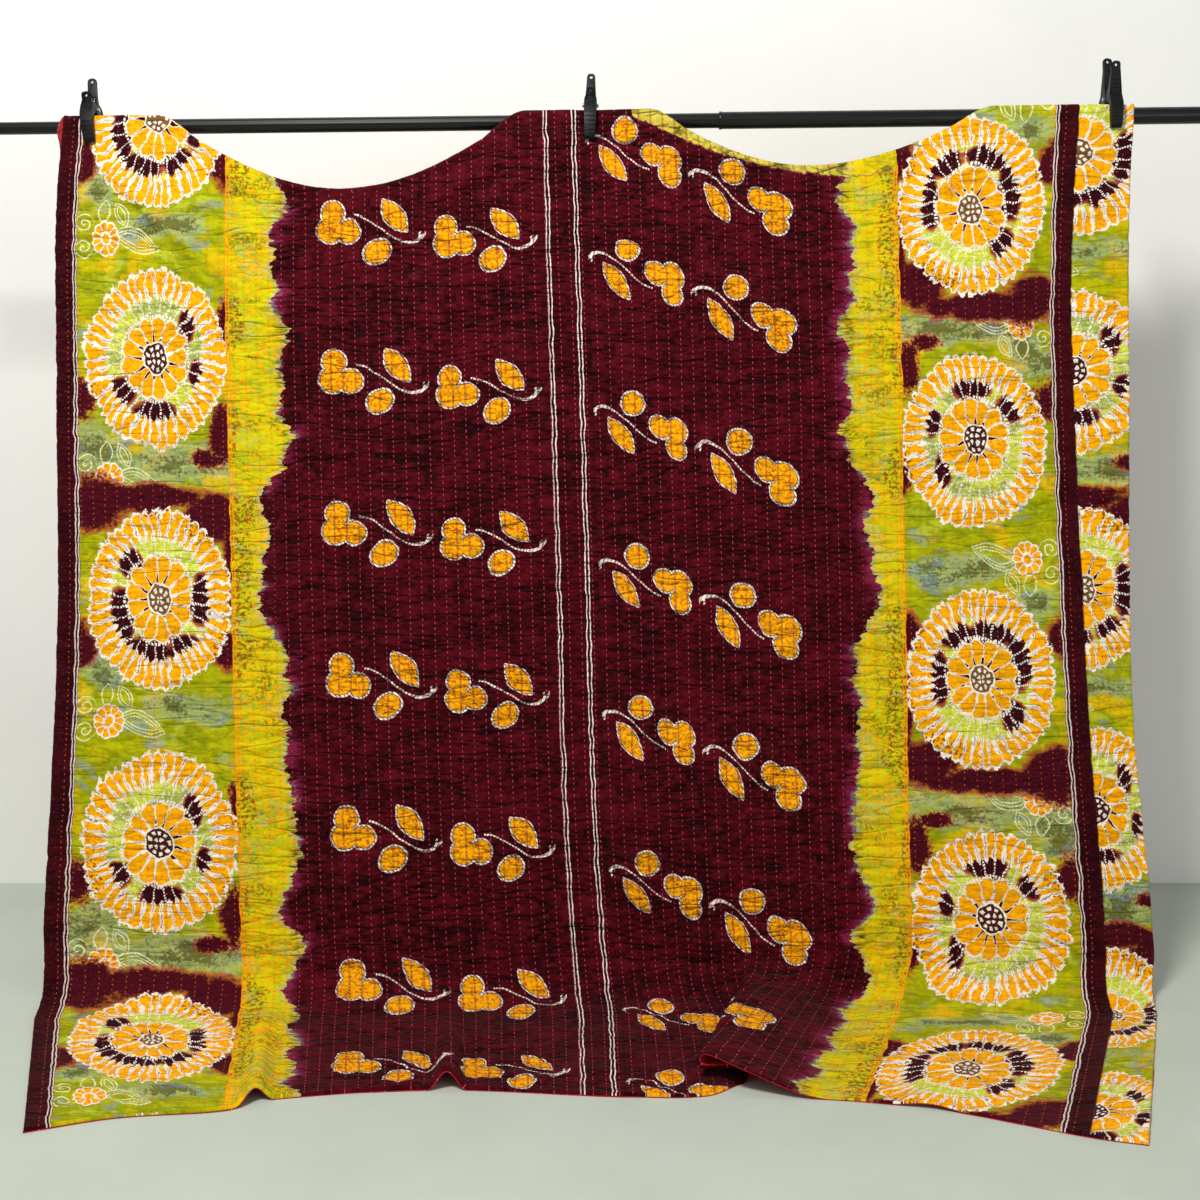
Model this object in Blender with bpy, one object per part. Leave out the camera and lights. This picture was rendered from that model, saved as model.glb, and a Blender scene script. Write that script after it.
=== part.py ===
"""Kantha quilt hung over the front of a telescoping rod by three spring clamps.

The quilt is three sewn front panels over one red backing. It is folded back at the rod,
sags between the clamps, hangs leaning forward and ends in folds on the floor.
Metres, +Z up, +X to the right, the front of the quilt towards -Y. The floor is z = 0.
"""
import math

import bpy
import bmesh
from mathutils import Matrix, Vector

# ---- the rod ----
ROD_HALF_LENGTH = 1.40
ROD_AXIS_Z = 1.756            # height of the axis at x = 0
ROD_RISE = 0.0108             # the rod rises this much per metre towards the right
ROD_RADIUS = {"rod_left": 0.0125, "rod_middle": 0.015, "rod_right": 0.017}
ROD_STEP_LEFT = -0.89         # x where the left tube enters the middle one
ROD_STEP_RIGHT = 0.244        # x where the middle tube enters the right one
ROD_INSERT = 0.10             # how far a tube goes into the next one
ROD_SIDES = 24

# ---- the cloth ----
GAP = 0.0003                  # between pieces that touch
CLOTH_THICK = 0.0016          # each layer
STITCH_RELIEF = 0.0010        # depth of the channels that the running stitch draws in
HALF_STITCH_PITCH = 0.0123    # half the distance between two rows of running stitch
COLUMNS = 178                 # half pitches across the quilt
SEAM_COLUMN = 89              # left panel to right panel
SIDE_SEAM_COLUMN = 170        # right panel to side panel
FLAP_LENGTH = 0.20            # cloth behind the rod's top line, above its hem
FOLD_RADIUS = 0.009           # half the distance between the flap and the front
FOLD_RISE = 0.0157            # top of the fold above the rod's axis at a clamp
FLAP_Y = -0.0215
FRONT_Y = FLAP_Y - 2 * FOLD_RADIUS
LEAN = 0.14                   # the hanging front comes forward this much per metre down
SAG_REACH = 0.35              # share of the hanging length in which a sag joins the lean
BEND_RADIUS_LEFT = 0.13       # where the cloth turns onto the floor
BEND_RADIUS_RIGHT = 0.09
FLOOR_LIFT = CLOTH_THICK + GAP

# Sags of the fold between the clamps: x of the left end, lowest place and right end, and depth.
SAGS = (
    {"left": -0.90, "lowest": -0.527, "right": -0.15, "depth": 0.150},
    {"left": 0.10, "lowest": 0.426, "right": 0.80, "depth": 0.114},
)

# Lines that run down the cloth, at their distance from its left edge on the flat cloth.
LINES = ("left_edge", "left_orange", "seam", "right_orange", "side_seam", "right_edge")
LINE_COLUMNS = (0, 29, SEAM_COLUMN, 141, SIDE_SEAM_COLUMN, COLUMNS)
# Where each line hangs (x) at some depths below the top of the fold.
HANGING_X = (
    # depth, left_edge, left_orange, seam, right_orange, side_seam, right_edge
    (0.00, -1.086, -0.760, -0.032, 0.598, 0.970, 1.080),
    (0.25, -1.099, -0.757, -0.025, 0.602, 0.951, 1.067),
    (0.50, -1.095, -0.752, -0.016, 0.606, 0.951, 1.066),
    (0.75, -1.093, -0.745, -0.009, 0.608, 0.958, 1.064),
    (1.00, -1.090, -0.738, -0.001, 0.612, 0.969, 1.064),
    (1.25, -1.097, -0.730, 0.005, 0.614, 0.980, 1.069),
    (1.50, -1.107, -0.722, 0.016, 0.618, 1.000, 1.092),
    (1.70, -1.116, -0.716, 0.030, 0.622, 1.012, 1.109),
)
# Where each line meets the floor, and where it ends at the front hem.
FLOOR_START_X = (-1.090, -0.697, 0.044, 0.579, 1.000, 1.085)
HEM_X = (-0.937, -0.630, 0.045, 0.448, 0.790, 0.876)
# How far in front of the rod the hem lies, at some columns.
HEM_REACH = (
    # column, reach
    (0, 0.853), (12, 0.805), (29, 0.776), (35, 0.737), (59, 0.700), (89, 0.725),
    (101, 0.722), (107, 0.672), (117, 0.668), (124, 0.715), (141, 0.745), (154, 0.785),
    (170, 0.870), (178, 0.897),
)
TENT_START = 0.25             # share of its height that a tent has where the floor starts
# Small tents in the floor part: column of the crest, half width in columns, height at the hem.
TENTS = (
    {"crest": 33, "half_width": 2.6, "height": 0.026},
    {"crest": 61.5, "half_width": 3.2, "height": 0.034},
    {"crest": 150, "half_width": 6.0, "height": 0.008},
)
# The big leaning fold, which lays the right part of the cloth over the left part.
PLEAT_COLUMN = 112.5
PLEAT_RADIUS = 0.0135
PLEAT_SLACK = 0.97            # share of the flat width that the cloth keeps beside the fold
PLEAT_DESCENT = 0.22          # the upper layer comes down to the floor over this length
# Soft drag folds of the hanging part: start and end (x, depth), height and width.
DRAG_FOLDS = (
    {"start": (-0.98, 0.06), "end": (-0.45, 0.62), "height": 0.012, "width": 0.070},
    {"start": (-0.10, 0.06), "end": (-0.42, 0.55), "height": 0.010, "width": 0.070},
    {"start": (0.04, 0.06), "end": (0.36, 0.60), "height": 0.010, "width": 0.070},
    {"start": (0.98, 0.06), "end": (0.62, 0.70), "height": 0.010, "width": 0.070},
    {"start": (0.06, 1.20), "end": (0.10, 1.66), "height": 0.014, "width": 0.080},
    {"start": (-0.80, 1.00), "end": (-0.74, 1.62), "height": 0.010, "width": 0.090},
)

# ---- how finely the cloth is divided ----
FLAP_STEPS = 2
FOLD_STEPS = 4
HANG_STEPS = 7
BEND_STEPS = 3
FLOOR_STEPS = 5
# Columns where both layers have points: runs of (first, last, step).
COARSE_RUNS = (
    (0, 28, 7), (29, 37, 2), (38, 56, 6), (57, 65, 2), (66, 84, 6), (89, 101, 6),
    (105, 120, 1), (123, 141, 3), (146, 167, 7), (170, 178, 4),
)

# ---- the clamps: x, radius of the rod there, handle tops above the axis, jaw below it ----
CLAMPS = (
    {"name": "clamp_left", "x": -1.034, "rod": "rod_left",
     "front_top": 0.063, "back_top": 0.093, "jaw": 0.036, "lean": -0.10},
    {"name": "clamp_centre", "x": -0.020, "rod": "rod_middle",
     "front_top": 0.061, "back_top": 0.090, "jaw": 0.036, "lean": 0.02},
    {"name": "clamp_right", "x": 1.041, "rod": "rod_right",
     "front_top": 0.100, "back_top": 0.111, "jaw": 0.030, "lean": 0.0},
)
PIN_Y = -0.0135
PIN_Z = 0.030                 # above the rod's axis
PIN_RADIUS = 0.004
PIN_HALF_LENGTH = 0.0165
JAW_HALF_WIDTH = 0.014
HANDLE_TAPER = 0.06            # each side draws in this much per metre above the pin

# ---- colours: red, green, blue, roughness, metallic ----
FINISHES = {
    "printed_cotton": (0.095, 0.010, 0.022, 0.90, 0.0),
    "printed_cotton_side": (0.120, 0.016, 0.030, 0.90, 0.0),
    "red_backing": (0.50, 0.020, 0.030, 0.90, 0.0),
    "black_rod": (0.012, 0.012, 0.013, 0.30, 0.0),
    "black_plastic": (0.015, 0.015, 0.016, 0.45, 0.0),
    "steel_pin": (0.55, 0.55, 0.56, 0.30, 1.0),
}


# ================= the cloth's shape =================

def clamp01(value):
    return min(1.0, max(0.0, value))


def smooth(value):
    value = clamp01(value)
    return value * value * (3.0 - 2.0 * value)


def curve_through(x, xs, ys):
    """A smooth curve through the points (xs, ys), flat beyond its ends."""
    if x <= xs[0]:
        return ys[0]
    if x >= xs[-1]:
        return ys[-1]
    i = max(k for k in range(len(xs) - 1) if xs[k] <= x)

    def slope(k):
        low, high = max(k - 1, 0), min(k + 1, len(xs) - 1)
        return (ys[high] - ys[low]) / (xs[high] - xs[low])

    width = xs[i + 1] - xs[i]
    t = (x - xs[i]) / width
    return ((2 * t**3 - 3 * t**2 + 1) * ys[i] + (t**3 - 2 * t**2 + t) * width * slope(i)
            + (3 * t**2 - 2 * t**3) * ys[i + 1] + (t**3 - t**2) * width * slope(i + 1))


def sag_depth(x):
    """How far the fold hangs below its level beside the clamps."""
    for sag in SAGS:
        if sag["left"] < x < sag["right"]:
            end = sag["left"] if x < sag["lowest"] else sag["right"]
            share = (x - end) / (sag["lowest"] - end)
            return sag["depth"] * math.sin(0.5 * math.pi * share) * smooth(share / 0.25) ** 0.5
    return 0.0


def turned_angle(take_up):
    """Angle to which an S-shaped fold without a straight middle takes up this much width."""
    angle = (3.0 * take_up / PLEAT_RADIUS) ** (1.0 / 3.0)
    for _ in range(12):
        error = 2.0 * PLEAT_RADIUS * (angle - math.sin(angle)) - take_up
        angle -= error / (2.0 * PLEAT_RADIUS * (1.0 - math.cos(angle)) + 1e-6)
    return min(angle, math.pi)


def pleat_section(distance, take_up):
    """Place (x, height) in the leaning fold, at a distance along the cloth from its middle."""
    full = 2.0 * PLEAT_RADIUS * math.pi
    angle = math.pi if take_up >= full else turned_angle(take_up)
    middle = max(0.0, 0.5 * (take_up - full))
    half = 0.5 * middle + PLEAT_RADIUS * angle
    height_in_middle = PLEAT_RADIUS * (1.0 - math.cos(angle)) + 0.5 * middle * math.sin(angle)
    side = math.copysign(1.0, distance)
    reach = abs(distance)
    if reach <= 0.5 * middle:
        x = reach * math.cos(angle)
        height = reach * math.sin(angle)
    else:
        turn = min(reach, half) - 0.5 * middle
        bend = angle - turn / PLEAT_RADIUS
        x = (0.5 * middle * math.cos(angle)
             + PLEAT_RADIUS * (math.sin(angle) - math.sin(bend)) + max(0.0, reach - half))
        height = (0.5 * middle * math.sin(angle)
                  + PLEAT_RADIUS * (math.cos(bend) - math.cos(angle)))
    height = height_in_middle + side * height
    if side > 0.0:
        height *= 1.0 - smooth((reach - half) / PLEAT_DESCENT)
    return side * x, height


def line_positions(column, line_x, take_up):
    """x of a column between the lines, and its height in the leaning fold."""
    place = max(k for k in range(len(LINE_COLUMNS) - 1) if LINE_COLUMNS[k] <= column)
    first, last = LINE_COLUMNS[place], LINE_COLUMNS[place + 1]
    x_first, x_last = line_x[place], line_x[place + 1]
    if LINES[place] != "seam" or take_up < 1e-4:
        return x_first + (x_last - x_first) * (column - first) / (last - first), 0.0
    flat = [(c - PLEAT_COLUMN) * HALF_STITCH_PITCH for c in (first, column, last)]
    low, _ = pleat_section(flat[0], take_up)
    here, height = pleat_section(flat[1], take_up)
    high, _ = pleat_section(flat[2], take_up)
    return x_first + (x_last - x_first) * (here - low) / (high - low), height


def rod_rise(x):
    return ROD_AXIS_Z + ROD_RISE * x


def ripple(x, depth):
    """How far the drag folds bring the hanging cloth forward."""
    total = 0.0
    for fold in DRAG_FOLDS:
        (x0, d0), (x1, d1) = fold["start"], fold["end"]
        length = math.hypot(x1 - x0, d1 - d0)
        along = ((x - x0) * (x1 - x0) + (depth - d0) * (d1 - d0)) / length**2
        across = ((x - x0) * (d1 - d0) - (depth - d0) * (x1 - x0)) / length
        taper = smooth(along / 0.25) * smooth((1.0 - along) / 0.5)
        total += fold["height"] * taper * math.exp(-(across / fold["width"]) ** 2)
    return total


def column_frame(column):
    """Sizes that one column of the cloth keeps from its hem behind to its hem in front."""
    share = column / COLUMNS
    top_x, _ = line_positions(column, HANGING_X[0][1:], 0.0)
    sag = sag_depth(top_x)
    top_z = rod_rise(top_x) + FOLD_RISE
    bend_radius = BEND_RADIUS_LEFT + (BEND_RADIUS_RIGHT - BEND_RADIUS_LEFT) * share
    lean_angle = math.atan(LEAN)
    turn = 0.5 * math.pi - lean_angle
    bend_top = FLOOR_LIFT + bend_radius * (1.0 - math.cos(turn))
    fold_centre_z = top_z - sag - FOLD_RADIUS
    return {
        "sag": sag,
        "top_z": top_z,
        "fold_centre_z": fold_centre_z,
        "lean_angle": lean_angle,
        "turn": turn,
        "bend_radius": bend_radius,
        "hang_start": sag + FOLD_RADIUS,
        "hang_end": (top_z - bend_top) / math.cos(lean_angle),
    }


def hanging_lines(depth):
    depths = [row[0] for row in HANGING_X]
    return [curve_through(depth, depths, [row[k] for row in HANGING_X])
            for k in range(1, len(LINES) + 1)]


def mix(a, b, share):
    return [p + (q - p) * share for p, q in zip(a, b)]


def hem_reach(column):
    return curve_through(column, [row[0] for row in HEM_REACH], [row[1] for row in HEM_REACH])


def take_up_of(line_x, growth):
    """Width that the leaning fold swallows in a row of the cloth."""
    seam = LINES.index("seam")
    flat = (LINE_COLUMNS[seam + 1] - LINE_COLUMNS[seam]) * HALF_STITCH_PITCH
    return max(0.0, flat * PLEAT_SLACK - (line_x[seam + 1] - line_x[seam])) * smooth(growth)


def tent_height(column, growth):
    total = 0.0
    for tent in TENTS:
        away = abs(column - tent["crest"]) / tent["half_width"]
        if away < 1.0:
            total += tent["height"] * math.cos(0.5 * math.pi * away) ** 2 * growth
    return total


def cloth_point(column, zone, share):
    """A point of the face between the two layers, and its depth on the cloth's pattern.

    zone is flap, fold, hang, bend or floor, and share runs from 0 to 1 down each of them.
    """
    f = column_frame(column)
    top_lines = HANGING_X[0][1:]
    top_x, _ = line_positions(column, top_lines, 0.0)
    if zone == "flap":
        below = (1.0 - share) * (FLAP_LENGTH + f["sag"] - FOLD_RADIUS)
        return Vector((top_x, FLAP_Y, f["fold_centre_z"] - below)), f["sag"] - below - FOLD_RADIUS
    if zone == "fold":
        angle = math.pi * share
        y = FLAP_Y - FOLD_RADIUS * (1.0 - math.cos(angle))
        z = f["fold_centre_z"] + FOLD_RADIUS * math.sin(angle)
        return Vector((top_x, y, z)), f["sag"] + FOLD_RADIUS * (2.0 * share - 1.0)
    if zone == "hang":
        depth = f["hang_start"] + (f["hang_end"] - f["hang_start"]) * share
        x, _ = line_positions(column, hanging_lines(depth), 0.0)
        down = depth - FOLD_RADIUS
        joined = smooth(share / SAG_REACH)
        y = FRONT_Y - LEAN * (down - f["sag"]) - ripple(x, depth) * smooth(share / 0.1)
        y -= LEAN * f["sag"] * joined
        z = f["top_z"] - FOLD_RADIUS - down * math.cos(f["lean_angle"])
        z += f["sag"] * (math.cos(f["lean_angle"]) - 1.0) * (1.0 - joined)
        return Vector((x, y, z)), depth
    # The turn onto the floor is an arc that ends level with it.
    radius = f["bend_radius"]
    start_y = FRONT_Y - LEAN * (f["hang_end"] - FOLD_RADIUS)
    start_lines = hanging_lines(f["hang_end"])
    bend_length = radius * f["turn"]
    level_y = start_y - radius * math.sin(f["turn"])
    if zone == "bend":
        angle = f["turn"] * share
        line_x = mix(start_lines, FLOOR_START_X, share)
        x, height = line_positions(column, line_x, take_up_of(line_x, share))
        height += tent_height(column, TENT_START * smooth(share))
        left = f["turn"] - angle
        y = level_y + radius * math.sin(left)
        z = FLOOR_LIFT + radius * (1.0 - math.cos(left))
        return (Vector((x, y - height * math.sin(left), z + height * math.cos(left))),
                f["hang_end"] + bend_length * share)
    line_x = mix(FLOOR_START_X, HEM_X, share)
    x, height = line_positions(column, line_x, take_up_of(line_x, 1.0))
    height += tent_height(column, TENT_START + (1.0 - TENT_START) * share)
    y = level_y + (-hem_reach(column) - level_y) * share
    start_x, _ = line_positions(column, FLOOR_START_X, 0.0)
    end_x, _ = line_positions(column, HEM_X, 0.0)
    length = math.hypot(end_x - start_x, hem_reach(column) + level_y)
    return Vector((x, y, FLOOR_LIFT + height)), f["hang_end"] + bend_length + length * share


def cloth_rows():
    """Zone and share of each row of points, from the hem behind to the hem in front."""
    rows = []
    for zone, steps in (("flap", FLAP_STEPS), ("fold", FOLD_STEPS), ("hang", HANG_STEPS),
                        ("bend", BEND_STEPS), ("floor", FLOOR_STEPS)):
        rows += [(zone, k / steps) for k in range(steps)]
    return rows + [("floor", 1.0)]


def coarse_columns(first, last):
    """Columns with points on both layers, from first to last, both included."""
    columns = {first, last}
    for start, end, step in COARSE_RUNS:
        columns |= {c for c in range(start, end + 1, step) if first <= c <= last}
    return sorted(columns)


def cloth_grid(columns, rows):
    """Points and outward normals of the face between the layers."""
    points = [[cloth_point(c, *row)[0] for c in columns] for row in rows]
    last_row, last_column = len(rows) - 1, len(columns) - 1
    normals = []
    for r in range(len(rows)):
        normals.append([])
        for c in range(len(columns)):
            along = points[r][min(c + 1, last_column)] - points[r][max(c - 1, 0)]
            down = points[min(r + 1, last_row)][c] - points[max(r - 1, 0)][c]
            normals[r].append(down.cross(along).normalized())
    return points, normals


# ================= building =================

def make_material(name):
    red, green, blue, roughness, metallic = FINISHES[name]
    material = bpy.data.materials.get(name) or bpy.data.materials.new(name)
    material.diffuse_color = (red, green, blue, 1.0)
    material.use_nodes = True
    shader = material.node_tree.nodes["Principled BSDF"]
    shader.inputs["Base Color"].default_value = (red, green, blue, 1.0)
    shader.inputs["Roughness"].default_value = roughness
    shader.inputs["Metallic"].default_value = metallic
    return material


def add_object(name, mesh, finish):
    mesh.materials.append(make_material(finish))
    thing = bpy.data.objects.new(name, mesh)
    bpy.context.collection.objects.link(thing)
    return thing


def layer_mesh(name, outer, inner, outer_columns, inner_columns):
    """Closed sheet between an outer grid and a sparser inner one that shares its edges."""
    rows = len(outer)
    verts = [p for row in outer for p in row] + [p for row in inner for p in row]
    outer_width, inner_width = len(outer_columns), len(inner_columns)
    base = rows * outer_width

    def out(r, c):
        return r * outer_width + c

    def inn(r, c):
        return base + r * inner_width + c

    faces = []
    for r in range(rows - 1):
        for c in range(outer_width - 1):
            faces.append((out(r, c), out(r + 1, c), out(r + 1, c + 1), out(r, c + 1)))
        for c in range(inner_width - 1):
            faces.append((inn(r, c), inn(r, c + 1), inn(r + 1, c + 1), inn(r + 1, c)))
        faces.append((out(r, 0), inn(r, 0), inn(r + 1, 0), out(r + 1, 0)))
        right_out, right_in = outer_width - 1, inner_width - 1
        faces.append((out(r, right_out), out(r + 1, right_out),
                      inn(r + 1, right_in), inn(r, right_in)))
    for r, first_side in ((0, True), (rows - 1, False)):
        for c in range(inner_width - 1):
            start = outer_columns.index(inner_columns[c])
            end = outer_columns.index(inner_columns[c + 1])
            rim = [(inn(r, c), out(r, k), out(r, k + 1)) for k in range(start, end)]
            rim.append((inn(r, c), out(r, end), inn(r, c + 1)))
            faces += rim if first_side else [tuple(reversed(face)) for face in rim]
    mesh = bpy.data.meshes.new(name)
    mesh.from_pydata(verts, [], faces)
    mesh.update()
    mesh.shade_smooth()
    mesh.set_sharp_from_angle(angle=math.radians(50))
    return mesh


def between(columns, grid, column):
    """Value at a column, on the straight line between the two coarse columns around it."""
    place = max(k for k in range(len(columns) - 1) if columns[k] <= column)
    share = (column - columns[place]) / (columns[place + 1] - columns[place])
    return grid[place].lerp(grid[place + 1], share)


def build_panel(name, first, last, finish, columns, points, normals):
    """One front panel: channels of stitching outside, plain inside."""
    coarse = coarse_columns(first, last)
    fine = list(range(first, last + 1))
    outer, inner = [], []
    for row_points, row_normals in zip(points, normals):
        outer_row, inner_row = [], []
        for c in fine:
            side = GAP / 2 * ((c == first and first > 0) - (c == last and last < COLUMNS))
            relief = STITCH_RELIEF * (0.5 if c % 2 else -0.5)
            place = between(columns, row_points, c)
            normal = between(columns, row_normals, c).normalized()
            point = place + normal * (CLOTH_THICK + relief) + Vector((side, 0.0, 0.0))
            outer_row.append(point)
            if c in coarse:
                inner_row.append(place + Vector((side, 0.0, 0.0)))
        outer.append(outer_row)
        inner.append(inner_row)
    return add_object(name, layer_mesh(name, outer, inner, fine, coarse), finish)


def build_backing(columns, points, normals):
    outer = [[p - n * GAP for p, n in zip(*rows)] for rows in zip(points, normals)]
    inner = [[p - n * (GAP + CLOTH_THICK) for p, n in zip(*rows)]
             for rows in zip(points, normals)]
    return add_object("backing", layer_mesh("backing", outer, inner, columns, columns),
                      "red_backing")


def turned_mesh(name, profile):
    """A round piece about the x axis from a profile of (x, radius), with flat ends."""
    shape = bmesh.new()
    rings = []
    for x, radius in profile:
        ring = []
        for k in range(ROD_SIDES):
            angle = 2.0 * math.pi * k / ROD_SIDES
            ring.append(shape.verts.new((x, radius * math.cos(angle), radius * math.sin(angle))))
        rings.append(ring)
    for low, high in zip(rings, rings[1:]):
        for k in range(ROD_SIDES):
            after = (k + 1) % ROD_SIDES
            shape.faces.new((low[k], low[after], high[after], high[k]))
    shape.faces.new(list(reversed(rings[0])))
    shape.faces.new(rings[-1])
    bmesh.ops.recalc_face_normals(shape, faces=shape.faces)
    mesh = bpy.data.meshes.new(name)
    shape.to_mesh(mesh)
    shape.free()
    mesh.shade_smooth()
    mesh.set_sharp_from_angle(angle=math.radians(40))
    return mesh


def build_rod():
    left, middle, right = (ROD_RADIUS[n] for n in ("rod_left", "rod_middle", "rod_right"))
    slope = math.atan(ROD_RISE)
    end = ROD_HALF_LENGTH

    def bored(start, stop, radius, bore):
        """A tube whose left end is bored to take the next tube."""
        floor_of_bore = start + ROD_INSERT + GAP
        return [(floor_of_bore, bore), (start, bore), (start, radius), (stop, radius)]

    profiles = {
        "rod_left": [(-end, left), (ROD_STEP_LEFT + ROD_INSERT, left)],
        "rod_middle": bored(ROD_STEP_LEFT, ROD_STEP_RIGHT + ROD_INSERT, middle, left + GAP),
        "rod_right": bored(ROD_STEP_RIGHT, end, right, middle + GAP),
    }
    pieces = []
    for name, profile in profiles.items():
        piece = add_object(name, turned_mesh(name, profile), "black_rod")
        piece.location = (0.0, 0.0, ROD_AXIS_Z)
        piece.rotation_euler = (0.0, -slope, 0.0)
        pieces.append(piece)
    return pieces


def arc(centre, radius, start, stop, steps):
    return [(centre[0] + radius * math.cos(a), centre[1] + radius * math.sin(a))
            for a in (start + (stop - start) * k / steps for k in range(steps + 1))]


def clamp_half_mesh(name, outline):
    """A clamp half from its side outline (y, z), wider at the jaw than at the handle."""
    shape = bmesh.new()
    verts = [shape.verts.new((0.0, y, z)) for y, z in outline]
    shape.faces.new(verts)
    whole = shape.verts[:] + shape.edges[:] + shape.faces[:]
    bmesh.ops.bisect_plane(shape, geom=whole, dist=1e-6, plane_co=(0.0, 0.0, PIN_Z),
                           plane_no=(0.0, 0.0, 1.0))
    bmesh.ops.triangulate(shape, faces=shape.faces[:])
    grown = bmesh.ops.extrude_face_region(shape, geom=shape.faces[:])
    far = {v for v in grown["geom"] if isinstance(v, bmesh.types.BMVert)}
    for v in shape.verts:
        half = JAW_HALF_WIDTH - HANDLE_TAPER * max(0.0, v.co.z - PIN_Z)
        v.co.x = half if v in far else -half
    bmesh.ops.recalc_face_normals(shape, faces=shape.faces)
    mesh = bpy.data.meshes.new(name)
    shape.to_mesh(mesh)
    shape.free()
    return mesh


def build_clamp(spec):
    radius = ROD_RADIUS[spec["rod"]]
    rise = FOLD_RISE - FOLD_RADIUS
    jaw = spec["jaw"]
    clear = CLOTH_THICK + 0.5 * STITCH_RELIEF + 2 * GAP
    seat = PIN_RADIUS + GAP
    front_face = PIN_Y - GAP / 2
    back_face = PIN_Y + GAP / 2
    tilt = LEAN * 1.02

    def pad(z):
        """y of the front jaw's pad, which lies along the leaning cloth."""
        return FRONT_Y - clear - tilt * (rise - z)

    quarter = 0.5 * math.pi
    front = [(front_face, PIN_Z - seat - 0.0035)]
    front += arc((front_face, PIN_Z), seat, -quarter, -3 * quarter, 6)
    front += [(front_face, PIN_Z + seat + 0.004), (-0.022, PIN_Z + 0.022),
              (-0.030, spec["front_top"] - 0.004), (-0.034, spec["front_top"]),
              (-0.040, spec["front_top"] - 0.004), (-0.036, PIN_Z + 0.014),
              (-0.052, 0.022), (-0.061, 0.004), (pad(-jaw) - 0.011, -jaw + 0.004),
              (pad(-jaw) - 0.006, -jaw - 0.002), (pad(-jaw), -jaw), (pad(0.004), 0.004),
              (-0.0450, 0.013), (-0.0360, 0.0215), (-0.024, 0.0235)]
    back = [(back_face, PIN_Z - seat - 0.0035)]
    back += arc((back_face, PIN_Z), seat, -quarter, quarter, 6)
    back += [(back_face, PIN_Z + seat + 0.004), (-0.002, PIN_Z + 0.022),
             (0.012, spec["back_top"] - 0.004), (0.017, spec["back_top"]),
             (0.022, spec["back_top"] - 0.004), (0.010, PIN_Z + 0.014),
             (radius + 0.012, 0.020), (radius + 0.016, 0.004), (radius + 0.012, -jaw + 0.010),
             (radius + 0.006, -jaw + 0.004), (radius + GAP, -jaw + 0.006),
             (radius + GAP, 0.009), (radius + 0.001, 0.015), (0.004, 0.0235)]
    place = Vector((spec["x"], 0.0, rod_rise(spec["x"])))
    turned = Matrix.Rotation(math.atan(spec["lean"]), 3, "Y")
    pieces = []
    for side, outline in (("front", front), ("back", back)):
        name = spec["name"] + "_" + side
        piece = add_object(name, clamp_half_mesh(name, outline), "black_plastic")
        piece.location = place
        pieces.append(piece)
    name = spec["name"] + "_pin"
    pin = add_object(name, turned_mesh(name, [(-PIN_HALF_LENGTH, PIN_RADIUS),
                                              (PIN_HALF_LENGTH, PIN_RADIUS)]), "steel_pin")
    pin.location = place + turned @ Vector((0.0, PIN_Y, PIN_Z))
    pieces.append(pin)
    for piece in pieces:
        piece.rotation_euler = turned.to_euler()
    return pieces


def world_bounds(pieces):
    low, high = Vector((9.0, 9.0, 9.0)), Vector((-9.0, -9.0, -9.0))
    for piece in pieces:
        placed = Matrix.LocRotScale(piece.location, piece.rotation_euler, None)
        for v in piece.data.vertices:
            point = placed @ v.co
            low = Vector(map(min, low, point))
            high = Vector(map(max, high, point))
    return low, high


def build():
    for thing in list(bpy.data.objects):
        bpy.data.objects.remove(thing)
    columns = coarse_columns(0, COLUMNS)
    points, normals = cloth_grid(columns, cloth_rows())
    grids = (columns, points, normals)
    pieces = [
        build_panel("panel_left", 0, SEAM_COLUMN, "printed_cotton", *grids),
        build_panel("panel_right", SEAM_COLUMN, SIDE_SEAM_COLUMN, "printed_cotton", *grids),
        build_panel("panel_side", SIDE_SEAM_COLUMN, COLUMNS, "printed_cotton_side", *grids),
        build_backing(*grids),
    ]
    pieces += build_rod()
    for spec in CLAMPS:
        pieces += build_clamp(spec)
    # The origin is on the floor, below the middle of the whole thing.
    low, high = world_bounds(pieces)
    origin = bpy.data.objects.new("quilt_origin", None)
    bpy.context.collection.objects.link(origin)
    origin.location = (-(low.x + high.x) / 2, -(low.y + high.y) / 2, -low.z)
    for piece in pieces:
        piece.parent = origin


build()
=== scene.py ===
"""Looks of the kantha quilt that hangs from a telescoping rod by three spring clamps."""
import math

import bmesh
import bpy
import numpy as np
from mathutils import Matrix, Vector


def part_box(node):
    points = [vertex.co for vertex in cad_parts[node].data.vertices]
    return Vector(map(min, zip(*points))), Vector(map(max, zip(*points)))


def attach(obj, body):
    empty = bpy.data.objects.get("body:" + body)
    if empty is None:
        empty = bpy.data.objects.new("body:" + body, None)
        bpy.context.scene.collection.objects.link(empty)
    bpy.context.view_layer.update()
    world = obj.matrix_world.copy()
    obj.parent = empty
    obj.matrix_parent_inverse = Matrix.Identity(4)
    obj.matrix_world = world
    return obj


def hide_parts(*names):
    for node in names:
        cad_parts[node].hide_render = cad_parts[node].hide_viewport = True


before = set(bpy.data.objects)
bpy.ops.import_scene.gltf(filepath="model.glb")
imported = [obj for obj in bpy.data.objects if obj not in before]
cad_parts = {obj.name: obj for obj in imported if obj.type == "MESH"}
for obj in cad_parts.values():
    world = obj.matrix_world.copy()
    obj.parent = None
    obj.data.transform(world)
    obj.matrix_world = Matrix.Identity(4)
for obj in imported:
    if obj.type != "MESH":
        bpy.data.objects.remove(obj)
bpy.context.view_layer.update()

# ======================= sizes, in metres, as in the frame =======================
ROD_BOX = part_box("rod_middle")
ROD_Y = (ROD_BOX[0].y + ROD_BOX[1].y) / 2
ROD_AXIS_Z = 1.756
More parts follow.
